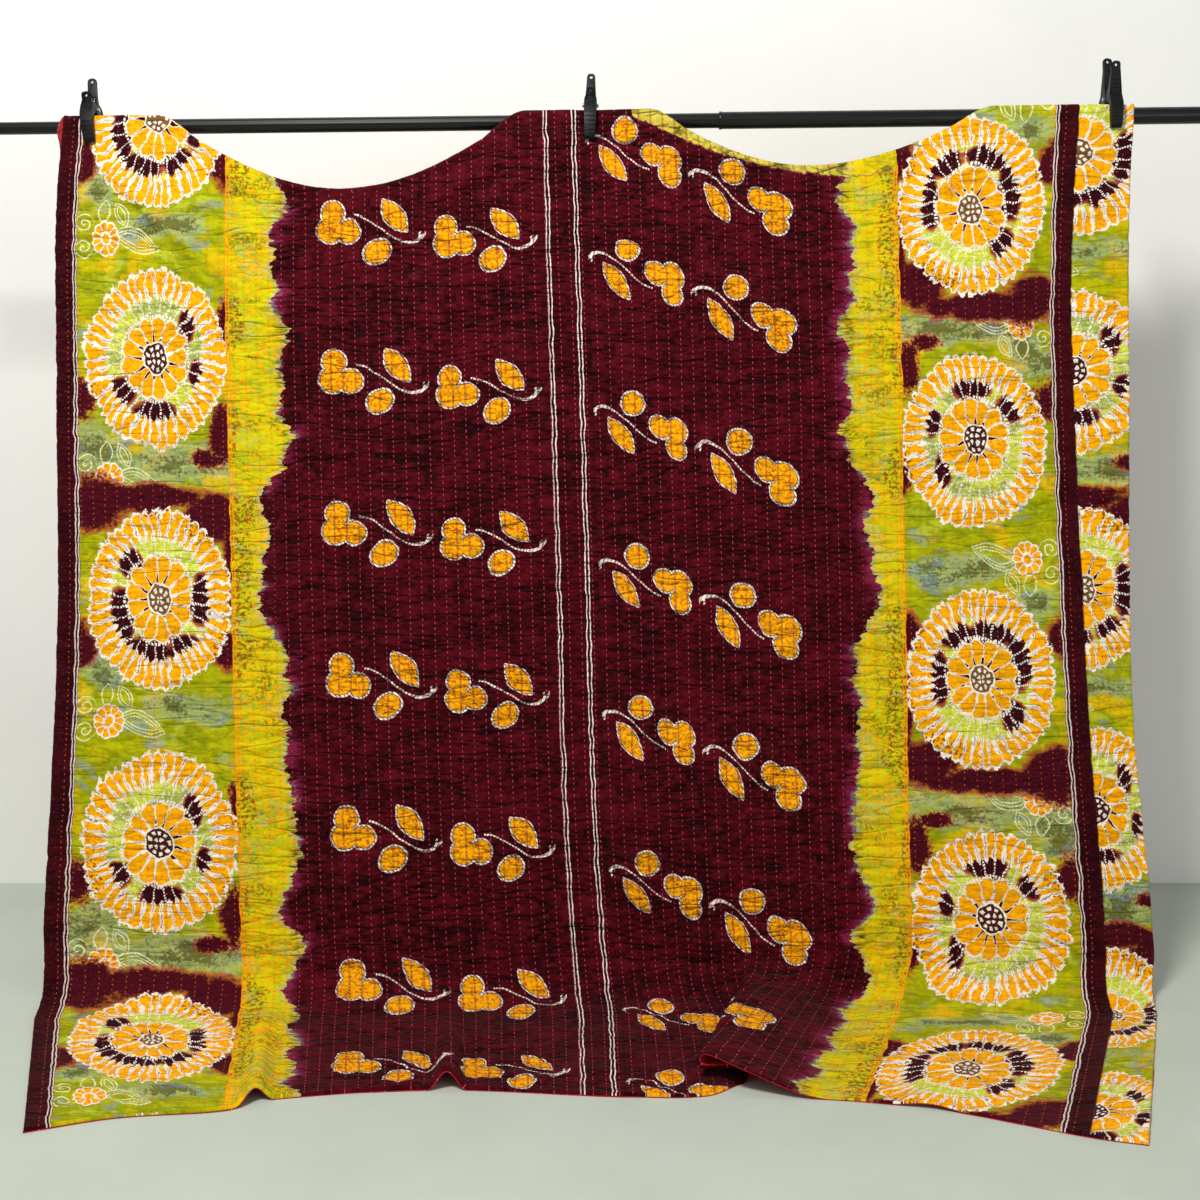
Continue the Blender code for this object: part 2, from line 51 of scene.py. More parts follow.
ROD_RISE = 0.0108
ROD_RADIUS = {"rod_left": 0.0125, "rod_middle": 0.015, "rod_right": 0.017}
ROD_STEP_LEFT = -0.89
ROD_STEP_RIGHT = 0.244

GAP = 0.0003
CLOTH_THICK = 0.0016
HALF_STITCH_PITCH = 0.0123
STITCH_PITCH = 2 * HALF_STITCH_PITCH
COLUMNS = 178
SEAM_COLUMN = 89
SIDE_SEAM_COLUMN = 170
FLAP_LENGTH = 0.20
FOLD_RADIUS = 0.009
FOLD_RISE = 0.0157
FLAP_Y = -0.0215
FRONT_Y = FLAP_Y - 2 * FOLD_RADIUS
LEAN = 0.14
SAG_REACH = 0.35
BEND_RADIUS_LEFT = 0.13
BEND_RADIUS_RIGHT = 0.09
FLOOR_LIFT = CLOTH_THICK + GAP

SAGS = (
    {"left": -0.90, "lowest": -0.527, "right": -0.15, "depth": 0.150},
    {"left": 0.10, "lowest": 0.426, "right": 0.80, "depth": 0.114},
)
LINES = ("left_edge", "left_orange", "seam", "right_orange", "side_seam", "right_edge")
LINE_COLUMNS = (0, 29, SEAM_COLUMN, 141, SIDE_SEAM_COLUMN, COLUMNS)
HANGING_X = (
    # depth, left_edge, left_orange, seam, right_orange, side_seam, right_edge
    (0.00, -1.086, -0.760, -0.032, 0.598, 0.970, 1.080),
    (0.25, -1.099, -0.757, -0.025, 0.602, 0.951, 1.067),
    (0.50, -1.095, -0.752, -0.016, 0.606, 0.951, 1.066),
    (0.75, -1.093, -0.745, -0.009, 0.608, 0.958, 1.064),
    (1.00, -1.090, -0.738, -0.001, 0.612, 0.969, 1.064),
    (1.25, -1.097, -0.730, 0.005, 0.614, 0.980, 1.069),
    (1.50, -1.107, -0.722, 0.016, 0.618, 1.000, 1.092),
    (1.70, -1.116, -0.716, 0.030, 0.622, 1.012, 1.109),
)
FLOOR_START_X = (-1.090, -0.697, 0.044, 0.579, 1.000, 1.085)
HEM_X = (-0.937, -0.630, 0.045, 0.448, 0.790, 0.876)
HEM_REACH = (
    # column, reach
    (0, 0.853), (12, 0.805), (29, 0.776), (35, 0.737), (59, 0.700), (89, 0.725),
    (101, 0.722), (107, 0.672), (117, 0.668), (124, 0.715), (141, 0.745), (154, 0.785),
    (170, 0.870), (178, 0.897),
)
TENT_START = 0.25
TENTS = (
    {"crest": 33, "half_width": 2.6, "height": 0.026},
    {"crest": 61.5, "half_width": 3.2, "height": 0.034},
    {"crest": 150, "half_width": 6.0, "height": 0.008},
)
PLEAT_COLUMN = 112.5
PLEAT_RADIUS = 0.0135
PLEAT_SLACK = 0.97
PLEAT_DESCENT = 0.22
# Ridges of the cloth: x and depth where each starts and ends, height and width.
DRAG_FOLDS = (
    (-0.98, 0.06, -0.45, 0.62, 0.012, 0.070), (-0.10, 0.06, -0.42, 0.55, 0.010, 0.070),
    (0.04, 0.06, 0.36, 0.60, 0.010, 0.070), (0.98, 0.06, 0.62, 0.70, 0.010, 0.070),
    (0.06, 1.20, 0.10, 1.66, 0.014, 0.080), (-0.80, 1.00, -0.74, 1.62, 0.010, 0.090),
)

# ---- how finely the visual cloth is divided ----
ZONES = (("flap", 34), ("fold", 12), ("hang", 356), ("bend", 44), ("floor", 96))
BACKING_ZONES = (("flap", 12), ("fold", 10), ("hang", 110), ("bend", 24), ("floor", 40))

# ---- the puckers that the stitching draws in ----
PUFF_HEIGHT = 0.0011          # between two rows of stitching
PUCKER_HEIGHT = 0.0042        # short ripples across the rows
PUCKER_PITCH = 0.016          # down the cloth


# ======================= the cloth's shape =======================

def smooth(value):
    value = np.clip(value, 0.0, 1.0)
    return value * value * (3.0 - 2.0 * value)


def curve_through(x, xs, ys):
    """A smooth curve through the points (xs, ys), flat beyond its ends."""
    xs = np.asarray(xs, float)
    ys = np.asarray(ys, float)
    x = np.clip(x, xs[0], xs[-1])
    i = np.clip(np.searchsorted(xs, x, side="right") - 1, 0, len(xs) - 2)
    low = np.clip(np.arange(len(xs)) - 1, 0, None)
    high = np.clip(np.arange(len(xs)) + 1, None, len(xs) - 1)
    slope = (ys[high] - ys[low]) / (xs[high] - xs[low])
    width = xs[i + 1] - xs[i]
    t = (x - xs[i]) / width
    return ((2 * t**3 - 3 * t**2 + 1) * ys[i] + (t**3 - 2 * t**2 + t) * width * slope[i]
            + (3 * t**2 - 2 * t**3) * ys[i + 1] + (t**3 - t**2) * width * slope[i + 1])


def sag_depth(x):
    total = np.zeros_like(x)
    for sag in SAGS:
        end = np.where(x < sag["lowest"], sag["left"], sag["right"])
        share = np.clip((x - end) / (sag["lowest"] - end), 0.0, 1.0)
        lobe = sag["depth"] * np.sin(0.5 * math.pi * share) * np.sqrt(smooth(share / 0.25))
        total += np.where((x > sag["left"]) & (x < sag["right"]), lobe, 0.0)
    return total


def turned_angle(take_up):
    angle = np.cbrt(3.0 * np.maximum(take_up, 1e-9) / PLEAT_RADIUS)
    for _ in range(12):
        error = 2.0 * PLEAT_RADIUS * (angle - np.sin(angle)) - take_up
        angle = angle - error / (2.0 * PLEAT_RADIUS * (1.0 - np.cos(angle)) + 1e-6)
    return np.minimum(angle, math.pi)


def pleat_section(distance, take_up):
    full = 2.0 * PLEAT_RADIUS * math.pi
    angle = np.where(take_up >= full, math.pi, turned_angle(np.minimum(take_up, full)))
    middle = np.maximum(0.0, 0.5 * (take_up - full))
    half = 0.5 * middle + PLEAT_RADIUS * angle
    centre_height = PLEAT_RADIUS * (1.0 - np.cos(angle)) + 0.5 * middle * np.sin(angle)
    side = np.where(distance < 0.0, -1.0, 1.0)
    reach = np.abs(distance)
    inner = reach <= 0.5 * middle
    bend = angle - (np.minimum(reach, half) - 0.5 * middle) / PLEAT_RADIUS
    x = np.where(inner, reach * np.cos(angle),
                 0.5 * middle * np.cos(angle)
                 + PLEAT_RADIUS * (np.sin(angle) - np.sin(bend)) + np.maximum(0.0, reach - half))
    height = np.where(inner, reach * np.sin(angle),
                      0.5 * middle * np.sin(angle)
                      + PLEAT_RADIUS * (np.cos(bend) - np.cos(angle)))
    height = centre_height + side * height
    height = height * np.where(side > 0.0, 1.0 - smooth((reach - half) / PLEAT_DESCENT), 1.0)
    return side * x, height


def line_positions(column, line_x, take_up):
    """x of each column between the lines, and its height in the leaning fold."""
    x = np.zeros_like(column)
    height = np.zeros_like(column)
    for k, name in enumerate(LINES[:-1]):
        first, last = LINE_COLUMNS[k], LINE_COLUMNS[k + 1]
        here = (column >= first) & ((column < last) | (k == len(LINES) - 2))
        x_first, x_last = line_x[k], line_x[k + 1]
        plain = x_first + (x_last - x_first) * (column - first) / (last - first)
        if name == "seam":
            low, _ = pleat_section((first - PLEAT_COLUMN) * HALF_STITCH_PITCH + 0 * column, take_up)
            mid, up = pleat_section((column - PLEAT_COLUMN) * HALF_STITCH_PITCH, take_up)
            high, _ = pleat_section((last - PLEAT_COLUMN) * HALF_STITCH_PITCH + 0 * column, take_up)
            folded = x_first + (x_last - x_first) * (mid - low) / (high - low)
            plain = np.where(take_up < 1e-4, plain, folded)
            height = np.where(here & (take_up >= 1e-4), up, height)
        x = np.where(here, plain, x)
    return x, height


def ridges(x, depth, table, lead, bow):
    """Height of a table's ridges at each place; they fade in over lead, and bow to one side."""
    total = np.zeros_like(x)
    for x0, d0, x1, d1, height, width in table:
        length = math.hypot(x1 - x0, d1 - d0)
        along = ((x - x0) * (x1 - x0) + (depth - d0) * (d1 - d0)) / length**2
        bowed = bow * length * np.sin(math.pi * np.clip(along, 0.0, 1.0))
        across = ((x - x0) * (d1 - d0) - (depth - d0) * (x1 - x0)) / length + bowed
        taper = smooth(along / lead) * smooth((1.0 - along) / 0.5)
        total += height * taper * np.exp(-(across / width) ** 2)
    return total


def hanging_lines(depth):
    depths = [row[0] for row in HANGING_X]
    return [curve_through(depth, depths, [row[k] for row in HANGING_X])
            for k in range(1, len(LINES) + 1)]


def mix(a, b, share):
    return [p + (q - p) * share for p, q in zip(a, b)]


def hem_reach(column):
    return curve_through(column, [row[0] for row in HEM_REACH], [row[1] for row in HEM_REACH])


def take_up_of(line_x, growth):
    seam = LINES.index("seam")
    flat = (LINE_COLUMNS[seam + 1] - LINE_COLUMNS[seam]) * HALF_STITCH_PITCH
    return np.maximum(0.0, flat * PLEAT_SLACK - (line_x[seam + 1] - line_x[seam])) * smooth(growth)


def tent_height(column, growth):
    total = np.zeros_like(column)
    for tent in TENTS:
        away = np.clip(np.abs(column - tent["crest"]) / tent["half_width"], 0.0, 1.0)
        total += tent["height"] * np.cos(0.5 * math.pi * away) ** 2 * growth
    return total


def cloth_row(column, zone, share):
    """Points (x, y, z) and pattern depth of one row of the face between the two layers."""
    zero = np.zeros_like(column)
    top_x, _ = line_positions(column, [x + zero for x in HANGING_X[0][1:]], zero)
    sag = sag_depth(top_x)
    top_z = ROD_AXIS_Z + ROD_RISE * top_x + FOLD_RISE
    centre_z = top_z - sag - FOLD_RADIUS
    radius = BEND_RADIUS_LEFT + (BEND_RADIUS_RIGHT - BEND_RADIUS_LEFT) * column / COLUMNS
    lean_angle = math.atan(LEAN)
    turn = 0.5 * math.pi - lean_angle
    bend_top = FLOOR_LIFT + radius * (1.0 - math.cos(turn))
    hang_start = sag + FOLD_RADIUS
    hang_end = (top_z - bend_top) / math.cos(lean_angle)
    if zone == "flap":
        below = (1.0 - share) * (FLAP_LENGTH + sag - FOLD_RADIUS)
        return (top_x, FLAP_Y + zero, centre_z - below), sag - below - FOLD_RADIUS
    if zone == "fold":
        angle = math.pi * share
        y = FLAP_Y - FOLD_RADIUS * (1.0 - math.cos(angle)) + zero
        z = centre_z + FOLD_RADIUS * math.sin(angle)
        return (top_x, y, z), sag + FOLD_RADIUS * (2.0 * share - 1.0)
    if zone == "hang":
        depth = hang_start + (hang_end - hang_start) * share
        x, _ = line_positions(column, hanging_lines(depth), zero)
        down = depth - FOLD_RADIUS
        joined = smooth(share / SAG_REACH)
        drag = ridges(x, depth, DRAG_FOLDS, 0.25, 0.0)
        y = FRONT_Y - LEAN * (down - sag) - drag * smooth(share / 0.1)
        y = y - LEAN * sag * joined
        z = top_z - FOLD_RADIUS - down * math.cos(lean_angle)
        z = z + sag * (math.cos(lean_angle) - 1.0) * (1.0 - joined)
        return (x, y, z), depth
    start_y = FRONT_Y - LEAN * (hang_end - FOLD_RADIUS)
    bend_length = radius * turn
    level_y = start_y - radius * math.sin(turn)
    if zone == "bend":
        line_x = mix(hanging_lines(hang_end), FLOOR_START_X, share)
        x, height = line_positions(column, line_x, take_up_of(line_x, share))
        height = height + tent_height(column, TENT_START * smooth(share))
        left = turn * (1.0 - share)
        y = level_y + radius * math.sin(left) - height * math.sin(left)
        z = FLOOR_LIFT + radius * (1.0 - math.cos(left)) + height * math.cos(left)
        return (x, y, z), hang_end + bend_length * share
    line_x = [x + zero for x in mix(FLOOR_START_X, HEM_X, share)]
    x, height = line_positions(column, line_x, take_up_of(line_x, 1.0))
    height = height + tent_height(column, TENT_START + (1.0 - TENT_START) * share)
    y = level_y + (-hem_reach(column) - level_y) * share
    start_x, _ = line_positions(column, [v + zero for v in FLOOR_START_X], zero)
    end_x, _ = line_positions(column, [v + zero for v in HEM_X], zero)
    length = np.hypot(end_x - start_x, hem_reach(column) + level_y)
    return (x, y, FLOOR_LIFT + height), hang_end + bend_length + length * share


def cloth_rows(zones):
    rows = []
    for zone, steps in zones:
        rows += [(zone, k / steps) for k in range(steps)]
    return rows + [("floor", 1.0)]


def cloth_grid(columns, zones):
    """Points, outward normals and pattern depth of the face between the layers."""
    points, depths = [], []
    for zone, share in cloth_rows(zones):
        place, depth = cloth_row(columns, zone, share)
        points.append(np.stack(place, axis=1))
        depths.append(depth)
    points = np.array(points)
    points[:, :, 1] += ROD_Y
    along = np.gradient(points, axis=1)
    down = np.gradient(points, axis=0)
    normals = np.cross(down, along)
    normals /= np.linalg.norm(normals, axis=2, keepdims=True)
    return points, normals, np.array(depths)


# ======================= the print's places =======================

PRINT_PARTS = ("border", "yellow", "field", "joins")
MEDALLION_PITCH = 0.4865
MEDALLION_A = 0.2075
MEDALLION_HALF = (0.150, 0.183)
SPRIG_PITCH = 0.306

# Blots of dye beside the round flowers and in their pale rings, for the even and the odd
# flowers: centre and half-size, in half-sizes of the flower.
BLOTS_BESIDE = (
    ((-0.86, -1.06, 0.42, 0.30), (-0.10, -1.12, 0.85, 0.16), (0.72, -0.90, 0.42, 0.26),
     (1.04, -0.50, 0.15, 0.36), (-1.12, 0.46, 0.24, 0.26), (0.97, 0.56, 0.22, 0.22),
     (1.06, 0.02, 0.12, 0.24)),
    ((-1.12, 0.44, 0.34, 0.24), (1.02, -0.38, 0.14, 0.24), (0.88, 0.82, 0.15, 0.32),
     (0.66, 1.12, 0.20, 0.09)),
)
BLOTS_INSIDE = (
    ((-0.52, 0.24, 0.16, 0.34), (-0.20, 0.54, 0.30, 0.14), (0.34, 0.50, 0.22, 0.15),
     (0.56, 0.04, 0.13, 0.30), (-0.40, -0.40, 0.14, 0.16)),
    ((-0.50, 0.36, 0.17, 0.14), (0.02, 0.58, 0.26, 0.11), (0.44, -0.36, 0.10, 0.18),
     (0.56, 0.20, 0.09, 0.14)),
)
BLOTS_OLIVE = (
    ((0.20, 1.20, 0.70, 0.16), (-0.80, 0.80, 0.30, 0.20)),
    ((0.30, 1.24, 0.95, 0.24), (-0.85, 0.95, 0.42, 0.34), (1.30, 0.30, 0.30, 0.16)),
)


def blot_field(a, b, sets):
    """Above 0 inside the blots, 1 in their middles, for a place in the border of flowers."""
    field = np.full_like(a, -1.0)
    for number in range(-1, 9):
        for x, y, half_x, half_y in sets[number % 2]:
            dx = (a - MEDALLION_A) / MEDALLION_HALF[0] - x
            dy = (b - 0.008 - number * MEDALLION_PITCH) / MEDALLION_HALF[1] - y
            field = np.maximum(field, 1.0 - np.hypot(dx / half_x, dy / half_y))
    return field


def dye_amounts(a, b):
    return np.stack([blot_field(a, b, sets) for sets in (BLOTS_BESIDE, BLOTS_INSIDE, BLOTS_OLIVE)],
                    axis=-1)


# ======================= relief on the cloth =======================

def value_noise(x, y, size_x, size_y, seed):
    """Smooth seeded noise from -1 to 1, with cells of size_x by size_y."""
    table = np.random.default_rng(seed).uniform(-1.0, 1.0, (97, 389))
    px, py = x / size_x + 1000.0, y / size_y + 1000.0
    ix, iy = np.floor(px).astype(int), np.floor(py).astype(int)
    fx, fy = px - ix, py - iy
    fx, fy = fx * fx * (3 - 2 * fx), fy * fy * (3 - 2 * fy)

    def at(dx, dy):
        return table[(ix + dx) % 97, (iy + dy) % 389]

    low = at(0, 0) * (1 - fx) + at(1, 0) * fx
    high = at(0, 1) * (1 - fx) + at(1, 1) * fx
    return low * (1 - fy) + high * fy


# Soft creases, listed in the same order of numbers; a height below 0 is a trough.
CREASES = (
    (-1.04, 0.05, -0.66, 0.40, 0.0065, 0.016), (-1.02, 0.11, -0.74, 0.36, -0.0050, 0.014),
    (-1.05, 0.14, -0.84, 0.38, 0.0045, 0.013), (-0.98, 0.05, -0.48, 0.36, 0.0060, 0.018),
    (-0.94, 0.05, -0.50, 0.27, -0.0045, 0.013), (-0.12, 0.06, -0.50, 0.33, 0.0060, 0.018),
    (-0.10, 0.12, -0.36, 0.40, -0.0045, 0.016), (0.06, 0.06, 0.38, 0.27, 0.0055, 0.017),
    (0.07, 0.13, 0.36, 0.40, -0.0045, 0.016), (0.90, 0.05, 0.50, 0.30, 0.0055, 0.018),
    (0.98, 0.10, 0.60, 0.42, -0.0040, 0.016), (1.02, 0.12, 0.86, 0.50, 0.0040, 0.014),
    (-0.98, 0.62, -0.30, 0.70, 0.0030, 0.030), (-0.70, 0.92, 0.10, 0.96, 0.0030, 0.034),
    (0.10, 0.75, 0.90, 0.82, 0.0030, 0.032), (-1.08, 1.12, -0.40, 1.20, 0.0030, 0.030),
    (0.20, 1.22, 0.98, 1.14, 0.0035, 0.034), (-0.90, 1.42, -0.20, 1.50, -0.0035, 0.026),
    (0.00, 1.60, 0.16, 1.72, -0.0140, 0.030), (0.20, 1.52, 0.60, 1.66, 0.0050, 0.024),
    (-0.66, 1.50, -0.60, 1.95, 0.0050, 0.020), (0.70, 1.50, 0.60, 1.72, 0.0050, 0.026),
    (-0.46, 1.58, -0.28, 1.78, -0.0050, 0.024),
)


def stitched_relief(u, v):
    """Height of the outer face over its middle, and 1 in the valleys between two puckers."""
    row = u / STITCH_PITCH
    puff = np.abs(np.sin(math.pi * row)) ** 0.8
    lane = np.floor(row)
    shifted = v + 0.007 * value_noise(lane * 1.0, v, 1.0, 0.11, 3)
    narrow = np.abs(value_noise(u, shifted, 0.046, PUCKER_PITCH, 5)) ** 0.7
    wide = np.abs(value_noise(u, v, 0.130, 1.4 * PUCKER_PITCH, 7)) ** 0.7
    long = np.abs(value_noise(u, v + 0.05 * u, 0.34, 0.052, 29))
    strength = 0.85 + 0.35 * value_noise(u, v, 0.16, 0.12, 9)
    swell = value_noise(u, v, 0.22, 0.060, 13)
    broad = value_noise(u, v, 0.40, 0.20, 17)
    height = PUFF_HEIGHT * puff + PUCKER_HEIGHT * (0.9 * narrow + 0.8 * wide) * strength
    height -= 0.0030 * np.exp(-(long / 0.13) ** 2)
    valley = smooth((0.50 - (0.9 * narrow + 0.8 * wide)) / 0.45)
    return height + 0.0014 * swell + 0.0030 * broad - 0.0008, valley


# ======================= meshes =======================

def grid_object(name, points, extra=None):
    """A sheet from a grid of points; extra holds point attributes as grids of vectors."""
    rows, width = points.shape[:2]
    index = np.arange(rows * width).reshape(rows, width)
    faces = np.stack([index[:-1, :-1], index[1:, :-1], index[1:, 1:], index[:-1, 1:]], axis=2)
    faces = faces.reshape(-1, 4)
    mesh = bpy.data.meshes.new(name)
    mesh.vertices.add(rows * width)
    mesh.vertices.foreach_set("co", points.reshape(-1, 3).ravel().astype(np.float32))
    mesh.loops.add(faces.size)
    mesh.loops.foreach_set("vertex_index", faces.ravel().astype(np.int32))
    mesh.polygons.add(len(faces))
    mesh.polygons.foreach_set("loop_start", np.arange(0, faces.size, 4, dtype=np.int32))
    mesh.update(calc_edges=True)
    mesh.shade_smooth()
    for label, values in (extra or {}).items():
        layer = mesh.attributes.new(label, "FLOAT_VECTOR", "POINT")
        layer.data.foreach_set("vector", values.reshape(-1, 3).ravel().astype(np.float32))
    thing = bpy.data.objects.new(name, mesh)
    bpy.context.collection.objects.link(thing)
    return thing


def end_band_of(x, depth):
    """How far inside the yellow dyed end, which follows the right sag's edge, a point is."""
    edge = curve_through(x, [0.06, 0.20, 0.32, 0.44, 0.51, 0.62],
                         [0.012, 0.072, 0.110, 0.131, 0.137, 0.120])
    inside = (x > 0.06) & (x < 0.60)
    return np.where(inside, edge - depth, -0.05)


def sari_places(name, u, v, x):
    """Places on the printed cloth: for its border, and for its field of sprigs."""
    if name == "panel_left":
        border = np.stack([u, v, np.zeros_like(u)], axis=-1)
        field = np.stack([u, v, np.full_like(u, -0.05)], axis=-1)
    elif name == "panel_right":
        a = 2.091 - u
        near = np.array([-0.30, 0.210, 0.675, 1.160, 1.640, 2.120, 2.60])
        told = 0.008 + MEDALLION_PITCH * np.arange(7, 0, -1)
        b = np.interp(v, near, told)
        border = np.stack([a, b, np.zeros_like(u)], axis=-1)
        sprig_a = np.interp(a, [0.0, 0.46, 0.622, 0.839, 1.0], [0.0, 0.44, 0.585, 0.820, 0.99])
        # Each row of sprigs keeps its scale, and the bare cloth between two rows takes up the rest.
        knots, told_rows = [], []
        for k, place in enumerate((-0.140, 0.206, 0.444, 0.756, 1.065, 1.368, 1.677, 1.982, 2.287, 2.592)):
            row_b = 0.220 + SPRIG_PITCH * (9 - k)
            knots += [place - 0.088, place + 0.058]
            told_rows += [row_b + 0.088, row_b - 0.058]
        sprig_b = np.interp(v + 0.27 * (a - 0.622), knots, told_rows)
        field = np.stack([sprig_a, sprig_b, end_band_of(x, v)], axis=-1)
    else:
        a = 0.205 + (u - 2.091)
        b = (v - 0.10) * (0.4865 / 0.44) + 0.008
        border = np.stack([a, b, np.ones_like(u)], axis=-1)
        field = np.stack([a, b, np.full_like(u, -0.05)], axis=-1)
    return border, field


def part_of_faces(a, end_band):
    """Which of PRINT_PARTS each face of a grid lies in."""
    def over_face(pick, values):
        return pick.reduce([values[:-1, :-1], values[1:, :-1], values[1:, 1:], values[:-1, 1:]])

    low, high = over_face(np.minimum, a), over_face(np.maximum, a)
    parts = np.full(low.shape, PRINT_PARTS.index("joins"))
    parts[high < 0.349] = PRINT_PARTS.index("border")
    parts[(low > 0.3595) & (high < 0.541)] = PRINT_PARTS.index("yellow")
    parts[low > 0.541] = PRINT_PARTS.index("field")
    parts[over_face(np.maximum, end_band) > -0.03] = PRINT_PARTS.index("joins")
    return parts


def v_of_fold(x):
    """Depth of the fold's front edge at each place."""
    return sag_depth(x) + FOLD_RADIUS


def cloth_panel(name, first, last, fine):
    """One panel of the front: its outer face, with edges turned in to the backing."""
    columns = np.arange(first, last + 1e-6, 1.0 / fine)
    points, normals, depths = cloth_grid(columns, ZONES)
    u = columns[None, :] * HALF_STITCH_PITCH + 0 * depths
    x, v = points[:, :, 0], depths
    height, valley = stitched_relief(u, v)
    height += ridges(x, v, CREASES, 0.3, 0.04)
    to_first = u - first * HALF_STITCH_PITCH
    to_last = last * HALF_STITCH_PITCH - u
    ends = np.minimum(depths - depths[:1], depths[-1:] - depths)
    if first > 0:
        height -= 0.0012 * np.exp(-(to_first / 0.004) ** 2)
    if last < COLUMNS:
        height -= 0.0012 * np.exp(-(to_last / 0.004) ** 2)
    if name == "panel_right":
        height += 0.0026 * smooth(1.0 - to_last / 0.030)
    if name == "panel_side":
        height -= 0.0014 * smooth(1.0 - to_first / 0.010)
    # It lies calm behind the rod, over the fold and in the clamps' jaws, and never sinks in.
    calm = 0.25 + 0.75 * smooth((v - v_of_fold(x)) / 0.035)
    for spec in CLAMPS:
        calm *= 1.0 - 0.8 * (np.exp(-((x - spec["x"]) / 0.030) ** 4) * (v < 0.075))
    height = np.maximum(height * calm, -0.0011)
    # A hem is folded double and sewn a little inside its edge.
    outer = np.minimum(ends, to_first if first == 0 else 9.0 + 0 * u)
    outer = np.minimum(outer, to_last if last == COLUMNS else 9.0 + 0 * u)
    height += 0.0009 * smooth(1.0 - outer / 0.012) - 0.0009 * np.exp(-((outer - 0.014) / 0.003) ** 2)
    lift = CLOTH_THICK + height
    side = np.zeros_like(u)
    if first > 0:
        side += np.where(to_first < 1e-6, 0.00015, 0.0)
    if last < COLUMNS:
        side -= np.where(to_last < 1e-6, 0.00015, 0.0)
    face = points + normals * lift[:, :, None]
    face[:, :, 0] += side
    base = points + normals * 0.0001
    base[:, :, 0] += side
    border, field = sari_places(name, u, v, x)
    # The third value, the valley mask of the relief, is where the material paints shade.
    place = np.stack([u, v, valley], axis=-1)
    dye = dye_amounts(border[:, :, 0], border[:, :, 1])

    def ring(values, inner):
        values = np.concatenate([inner[:, :1], values, inner[:, -1:]], axis=1)
        edge_low = np.concatenate([inner[:1, :1], inner[:1], inner[:1, -1:]], axis=1)
        edge_high = np.concatenate([inner[-1:, :1], inner[-1:], inner[-1:, -1:]], axis=1)
        return np.concatenate([edge_low, values, edge_high], axis=0)

    places = {"cloth_place": place, "border_place": border, "field_place": field, "dye_place": dye}
    places = {label: ring(values, values) for label, values in places.items()}
    thing = grid_object("cloth_" + name, ring(face, base), places)
    parts = part_of_faces(places["border_place"][:, :, 0], places["field_place"][:, :, 2])
    thing.data.polygons.foreach_set("material_index", parts.ravel().astype(np.int32))
    return thing


def cloth_backing():
    """The red reverse: a closed sheet whose edge shows a little round the front."""
    halves = [c for low, high in ((29.5, 36.5), (57.5, 65.5), (105.5, 120.5))
              for c in np.arange(low, high + 1e-6, 1.0)]
    columns = np.array(sorted(list(np.arange(0.0, COLUMNS + 1e-6, 1.0)) + halves))
    points, normals, depths = cloth_grid(columns, BACKING_ZONES)
    u = columns[None, :] * HALF_STITCH_PITCH + 0 * depths
    v = depths
    pucker = 0.0005 * value_noise(u, v, 0.05, 0.012, 21) + 0.0016 * value_noise(u, v, 0.3, 0.15, 23)
    corner = 0.012 * np.exp(-((v[:, 0] - 0.030) / 0.026) ** 2)
    out_left = points[:, 0] - points[:, 1]
    out_left /= np.linalg.norm(out_left, axis=1, keepdims=True)
    out_right = points[:, -1] - points[:, -2]
    out_right /= np.linalg.norm(out_right, axis=1, keepdims=True)
    out_top = points[0] - points[1]
    out_top /= np.linalg.norm(out_top, axis=1, keepdims=True)
    out_hem = points[-1] - points[-2]
    out_hem /= np.linalg.norm(out_hem, axis=1, keepdims=True)

    def peek(along, seed):
        return 0.0016 * smooth(2.2 * value_noise(along, 0 * along, 0.09, 1.0, seed) - 0.5)[:, None]

    points[:, 0] += out_left * (peek(v[:, 0], 41) + corner[:, None])
    points[:, -1] += out_right * peek(v[:, -1], 43)
    points[0] += out_top * 0.0004
    points[-1] += out_hem * peek(u[-1], 47)
    front = points - normals * 0.0002
    back_lift = np.minimum(GAP + CLOTH_THICK - pucker, 0.0026)
    back_lift = np.where(v > depths[-1:] - 0.72, GAP + CLOTH_THICK - 0.0001, back_lift)
    back = points - normals * back_lift[:, :, None]
    rows, width = front.shape[:2]
    place = np.stack([u, v, np.zeros_like(u)], axis=-1)
    loop = np.concatenate([front, back[:, ::-1], front[:, :1]], axis=1)
    places = np.concatenate([place, place[:, ::-1], place[:, :1]], axis=1)
    thing = grid_object("cloth_backing", loop, {"cloth_place": places})
    shape = bmesh.new()
    shape.from_mesh(thing.data)
    shape.verts.ensure_lookup_table()
    wide = 2 * width + 1
    for row in (0, rows - 1):
        line = [shape.verts[row * wide + k] for k in range(wide - 1)]
        for k in range(width - 1):
            shape.faces.new((line[k], line[k + 1], line[-2 - k], line[-1 - k]))
    bmesh.ops.remove_doubles(shape, verts=shape.verts, dist=1e-6)
    bmesh.ops.recalc_face_normals(shape, faces=shape.faces)
    for face in shape.faces:
        face.smooth = True
    shape.to_mesh(thing.data)
    shape.free()
    return thing


# ======================= numbers in a material's nodes =======================

def linear(red, green, blue):
    """A colour in linear light from 8-bit values."""
    def one(value):
        value /= 255.0
        return value / 12.92 if value <= 0.04045 else ((value + 0.055) / 1.055) ** 2.4
    return (one(red), one(green), one(blue), 1.0)


def put(slot, value):
    """Links a node's value to an input, or sets a number or an 8-bit colour on it."""
    if isinstance(value, Value):
        value.tree.links.new(value.socket, slot)
    else:
        slot.default_value = linear(*value) if isinstance(value, tuple) else value


def tree_of(*values):
    return next(value.tree for value in values if isinstance(value, Value))


